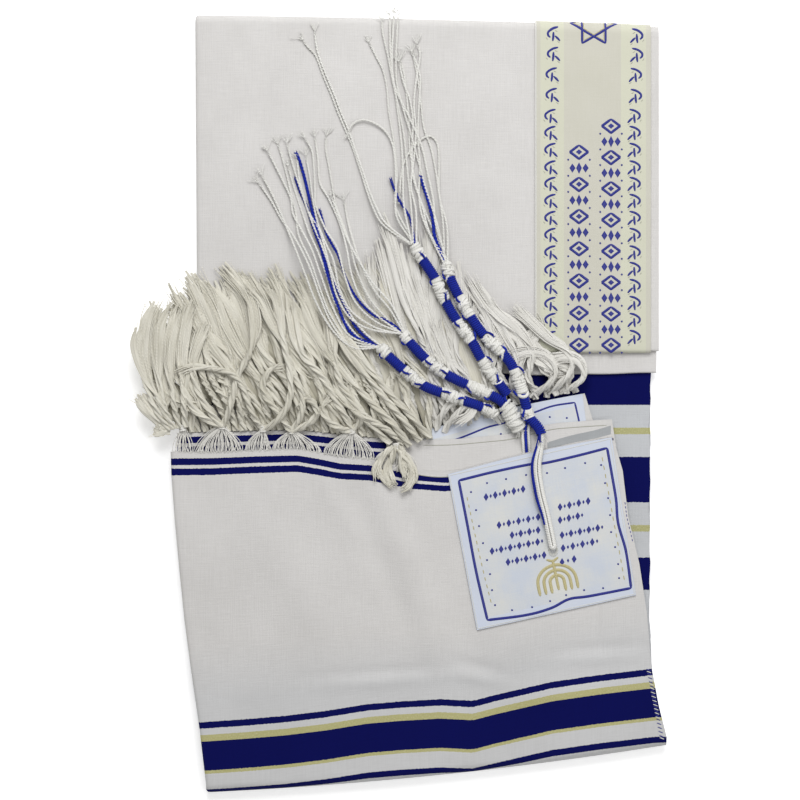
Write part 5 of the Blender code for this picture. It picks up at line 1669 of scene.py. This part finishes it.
def build_tzitzit(name, seed):
    random = np.random.default_rng(seed)
    rows = TZITZIT[name]
    points = np.array([row[1:] for row in rows], float)
    fine = smooth_curve(points, np.linspace(0, 1, 600))
    marks = [int(np.argmin(np.linalg.norm(fine - point, axis=1))) for point in points]
    piece = Piece()
    last_knot = max(number for number, row in enumerate(rows) if row[0] != "threads" and row[0] != "end")
    doubled_cord(piece, fine[marks[last_knot + 1] - 4:], name, random)
    for number, row in enumerate(rows[:last_knot + 1]):
        stretch = fine[marks[number]:marks[number + 1] + 1]
        if row[0] == "winding":
            piece.tubes(stretch[::4], 2.5, 8, BLUE_END)
            coil(piece, stretch, 2.6, 0.66, 1.25, BLUE_END)
            spur(piece, stretch, 1, random, 900 + number, random.uniform(0.2, 2.9))
            if number % 2:
                spur(piece, stretch, len(stretch) - 2, random, 950 + number, random.uniform(0.2, 2.9))
        else:
            big = name == "tzitzit_c" and number == last_knot
            knot(piece, stretch, random, number * 20, 5.3 if big else 3.9)
    heights = LONG_HEIGHTS if name in ("tzitzit_a", "tzitzit_b") else FAN_HEIGHTS
    for strand, end in enumerate(LOOSE_ENDS[name]):
        start = fine[0] + np.array([(strand % 4 - 1.5) * 0.9, 0.0, (strand // 4 - 0.5) * 1.2])
        places = picture(*end.route)
        level = 0.45 * (strand % 3)
        path = [start] + [np.array([x, y, np.interp(y, *heights) + level]) for x, y in places[1:]]
        centre = two_ply(piece, path, end.look, 200 + strand * 2, 0.42 * end.thickness)
        ahead = centre[-1] - centre[-3]
        if end.look == WHITE_END:
            tuft(piece, centre[-1], ahead / np.linalg.norm(ahead), random, end.look, 300 + strand)
    piece.make(name + "_cord", [WHITE_CORD, BLUE_CORD], "tzitzit", [name])


# ---- Stage, light and camera ----
CAMERA_HEIGHT = 2.0
FRAME_WIDTH = 0.48
FOCUS_HEIGHT = 0.011
FLOOR_REACH = 6.0
FLOOR_DROP = 0.0002
# Name, size, power and place
LIGHTS = [("key_light", 0.8, 15.5, (0.0, 0.92, 1.12)), ("fill_light", 1.0, 4.0, (0.8, -0.05, 1.0))]


def plain_material(name, colour, roughness):
    look = Look(name, Roughness=roughness, Emission_Strength=0.35)
    grain = look.noise(look.place, 400.0)
    look.colour(look.mix(look.times(grain, 0.02), colour, (0.8, 0.8, 0.8, 1)))
    return look.material


def area_light(name, size, power, place):
    """A square light that faces the middle of the floor."""
    data = bpy.data.lights.new(name, "AREA")
    data.size = size
    data.energy = power
    light = bpy.data.objects.new(name, data)
    bpy.context.collection.objects.link(light)
    light.location = place
    x, y, z = place
    light.rotation_euler = (math.atan2(math.hypot(x, y), z), 0, math.atan2(y, x) + math.pi / 2)


def build_stage():
    mesh = bpy.data.meshes.new("floor")
    corners = [(x * FLOOR_REACH, y * FLOOR_REACH, 0) for x, y in ((-1, -1), (1, -1), (1, 1), (-1, 1))]
    mesh.from_pydata(corners, [], [(0, 1, 2, 3)])
    mesh.uv_layers.new(name="cloth")
    mesh.materials.append(plain_material("floor_paper", (0.94, 0.94, 0.94, 1), 0.9))
    floor = bpy.data.objects.new("floor", mesh)
    floor.location = (0, 0, -FLOOR_DROP)
    bpy.context.collection.objects.link(floor)
    world = bpy.context.scene.world or bpy.data.worlds.new("studio")
    bpy.context.scene.world = world
    world.use_nodes = True
    background = world.node_tree.nodes["Background"]
    background.inputs["Color"].default_value = (1, 1, 1, 1)
    background.inputs["Strength"].default_value = 0.39
    for light in LIGHTS:
        area_light(*light)
    camera_data = bpy.data.cameras.new("camera")
    camera_data.sensor_width = 36.0
    camera_data.lens = camera_data.sensor_width * CAMERA_HEIGHT / FRAME_WIDTH
    camera_data.clip_end = 20.0
    camera = bpy.data.objects.new("camera", camera_data)
    camera.location = (0, 0, CAMERA_HEIGHT + FOCUS_HEIGHT)
    bpy.context.collection.objects.link(camera)
    bpy.context.scene.camera = camera
    bpy.context.scene.view_settings.view_transform = "Standard"
    bpy.context.scene.view_settings.look = "None"


build_flaps()
build_inner_layers()
build_second_fold()
edge_sheet("second_layer_cloth", SECOND_EDGE, SECOND_LAYER_BOTTOM, flap_side(HIDDEN_STEP, "right") - 1.0,
           "bottom_flap_second_layer", (0.268, 0.055), lambda x: np.where(x < -8, 3.6, 22.0))
edge_sheet("third_layer_cloth", THIRD_EDGE, 5 * LAYER, flap_side(HIDDEN_STEP, "right") - 3.0,
           "bottom_flap_third_layer", (0.265, 0.068), lambda x: np.where((x > 8) & (x < 32), 3.0, 40.0))
build_atara()
build_atara_embroidery()
build_patches()
build_patch_embroidery()
build_eyelet()
build_hem_stitches()
build_hem_shadows()
for seed, row in enumerate(FRINGES, 1):
    build_fringe(*row, seed)
for seed, name in enumerate(TZITZIT, 11):
    build_tzitzit(name, seed)
build_stage()
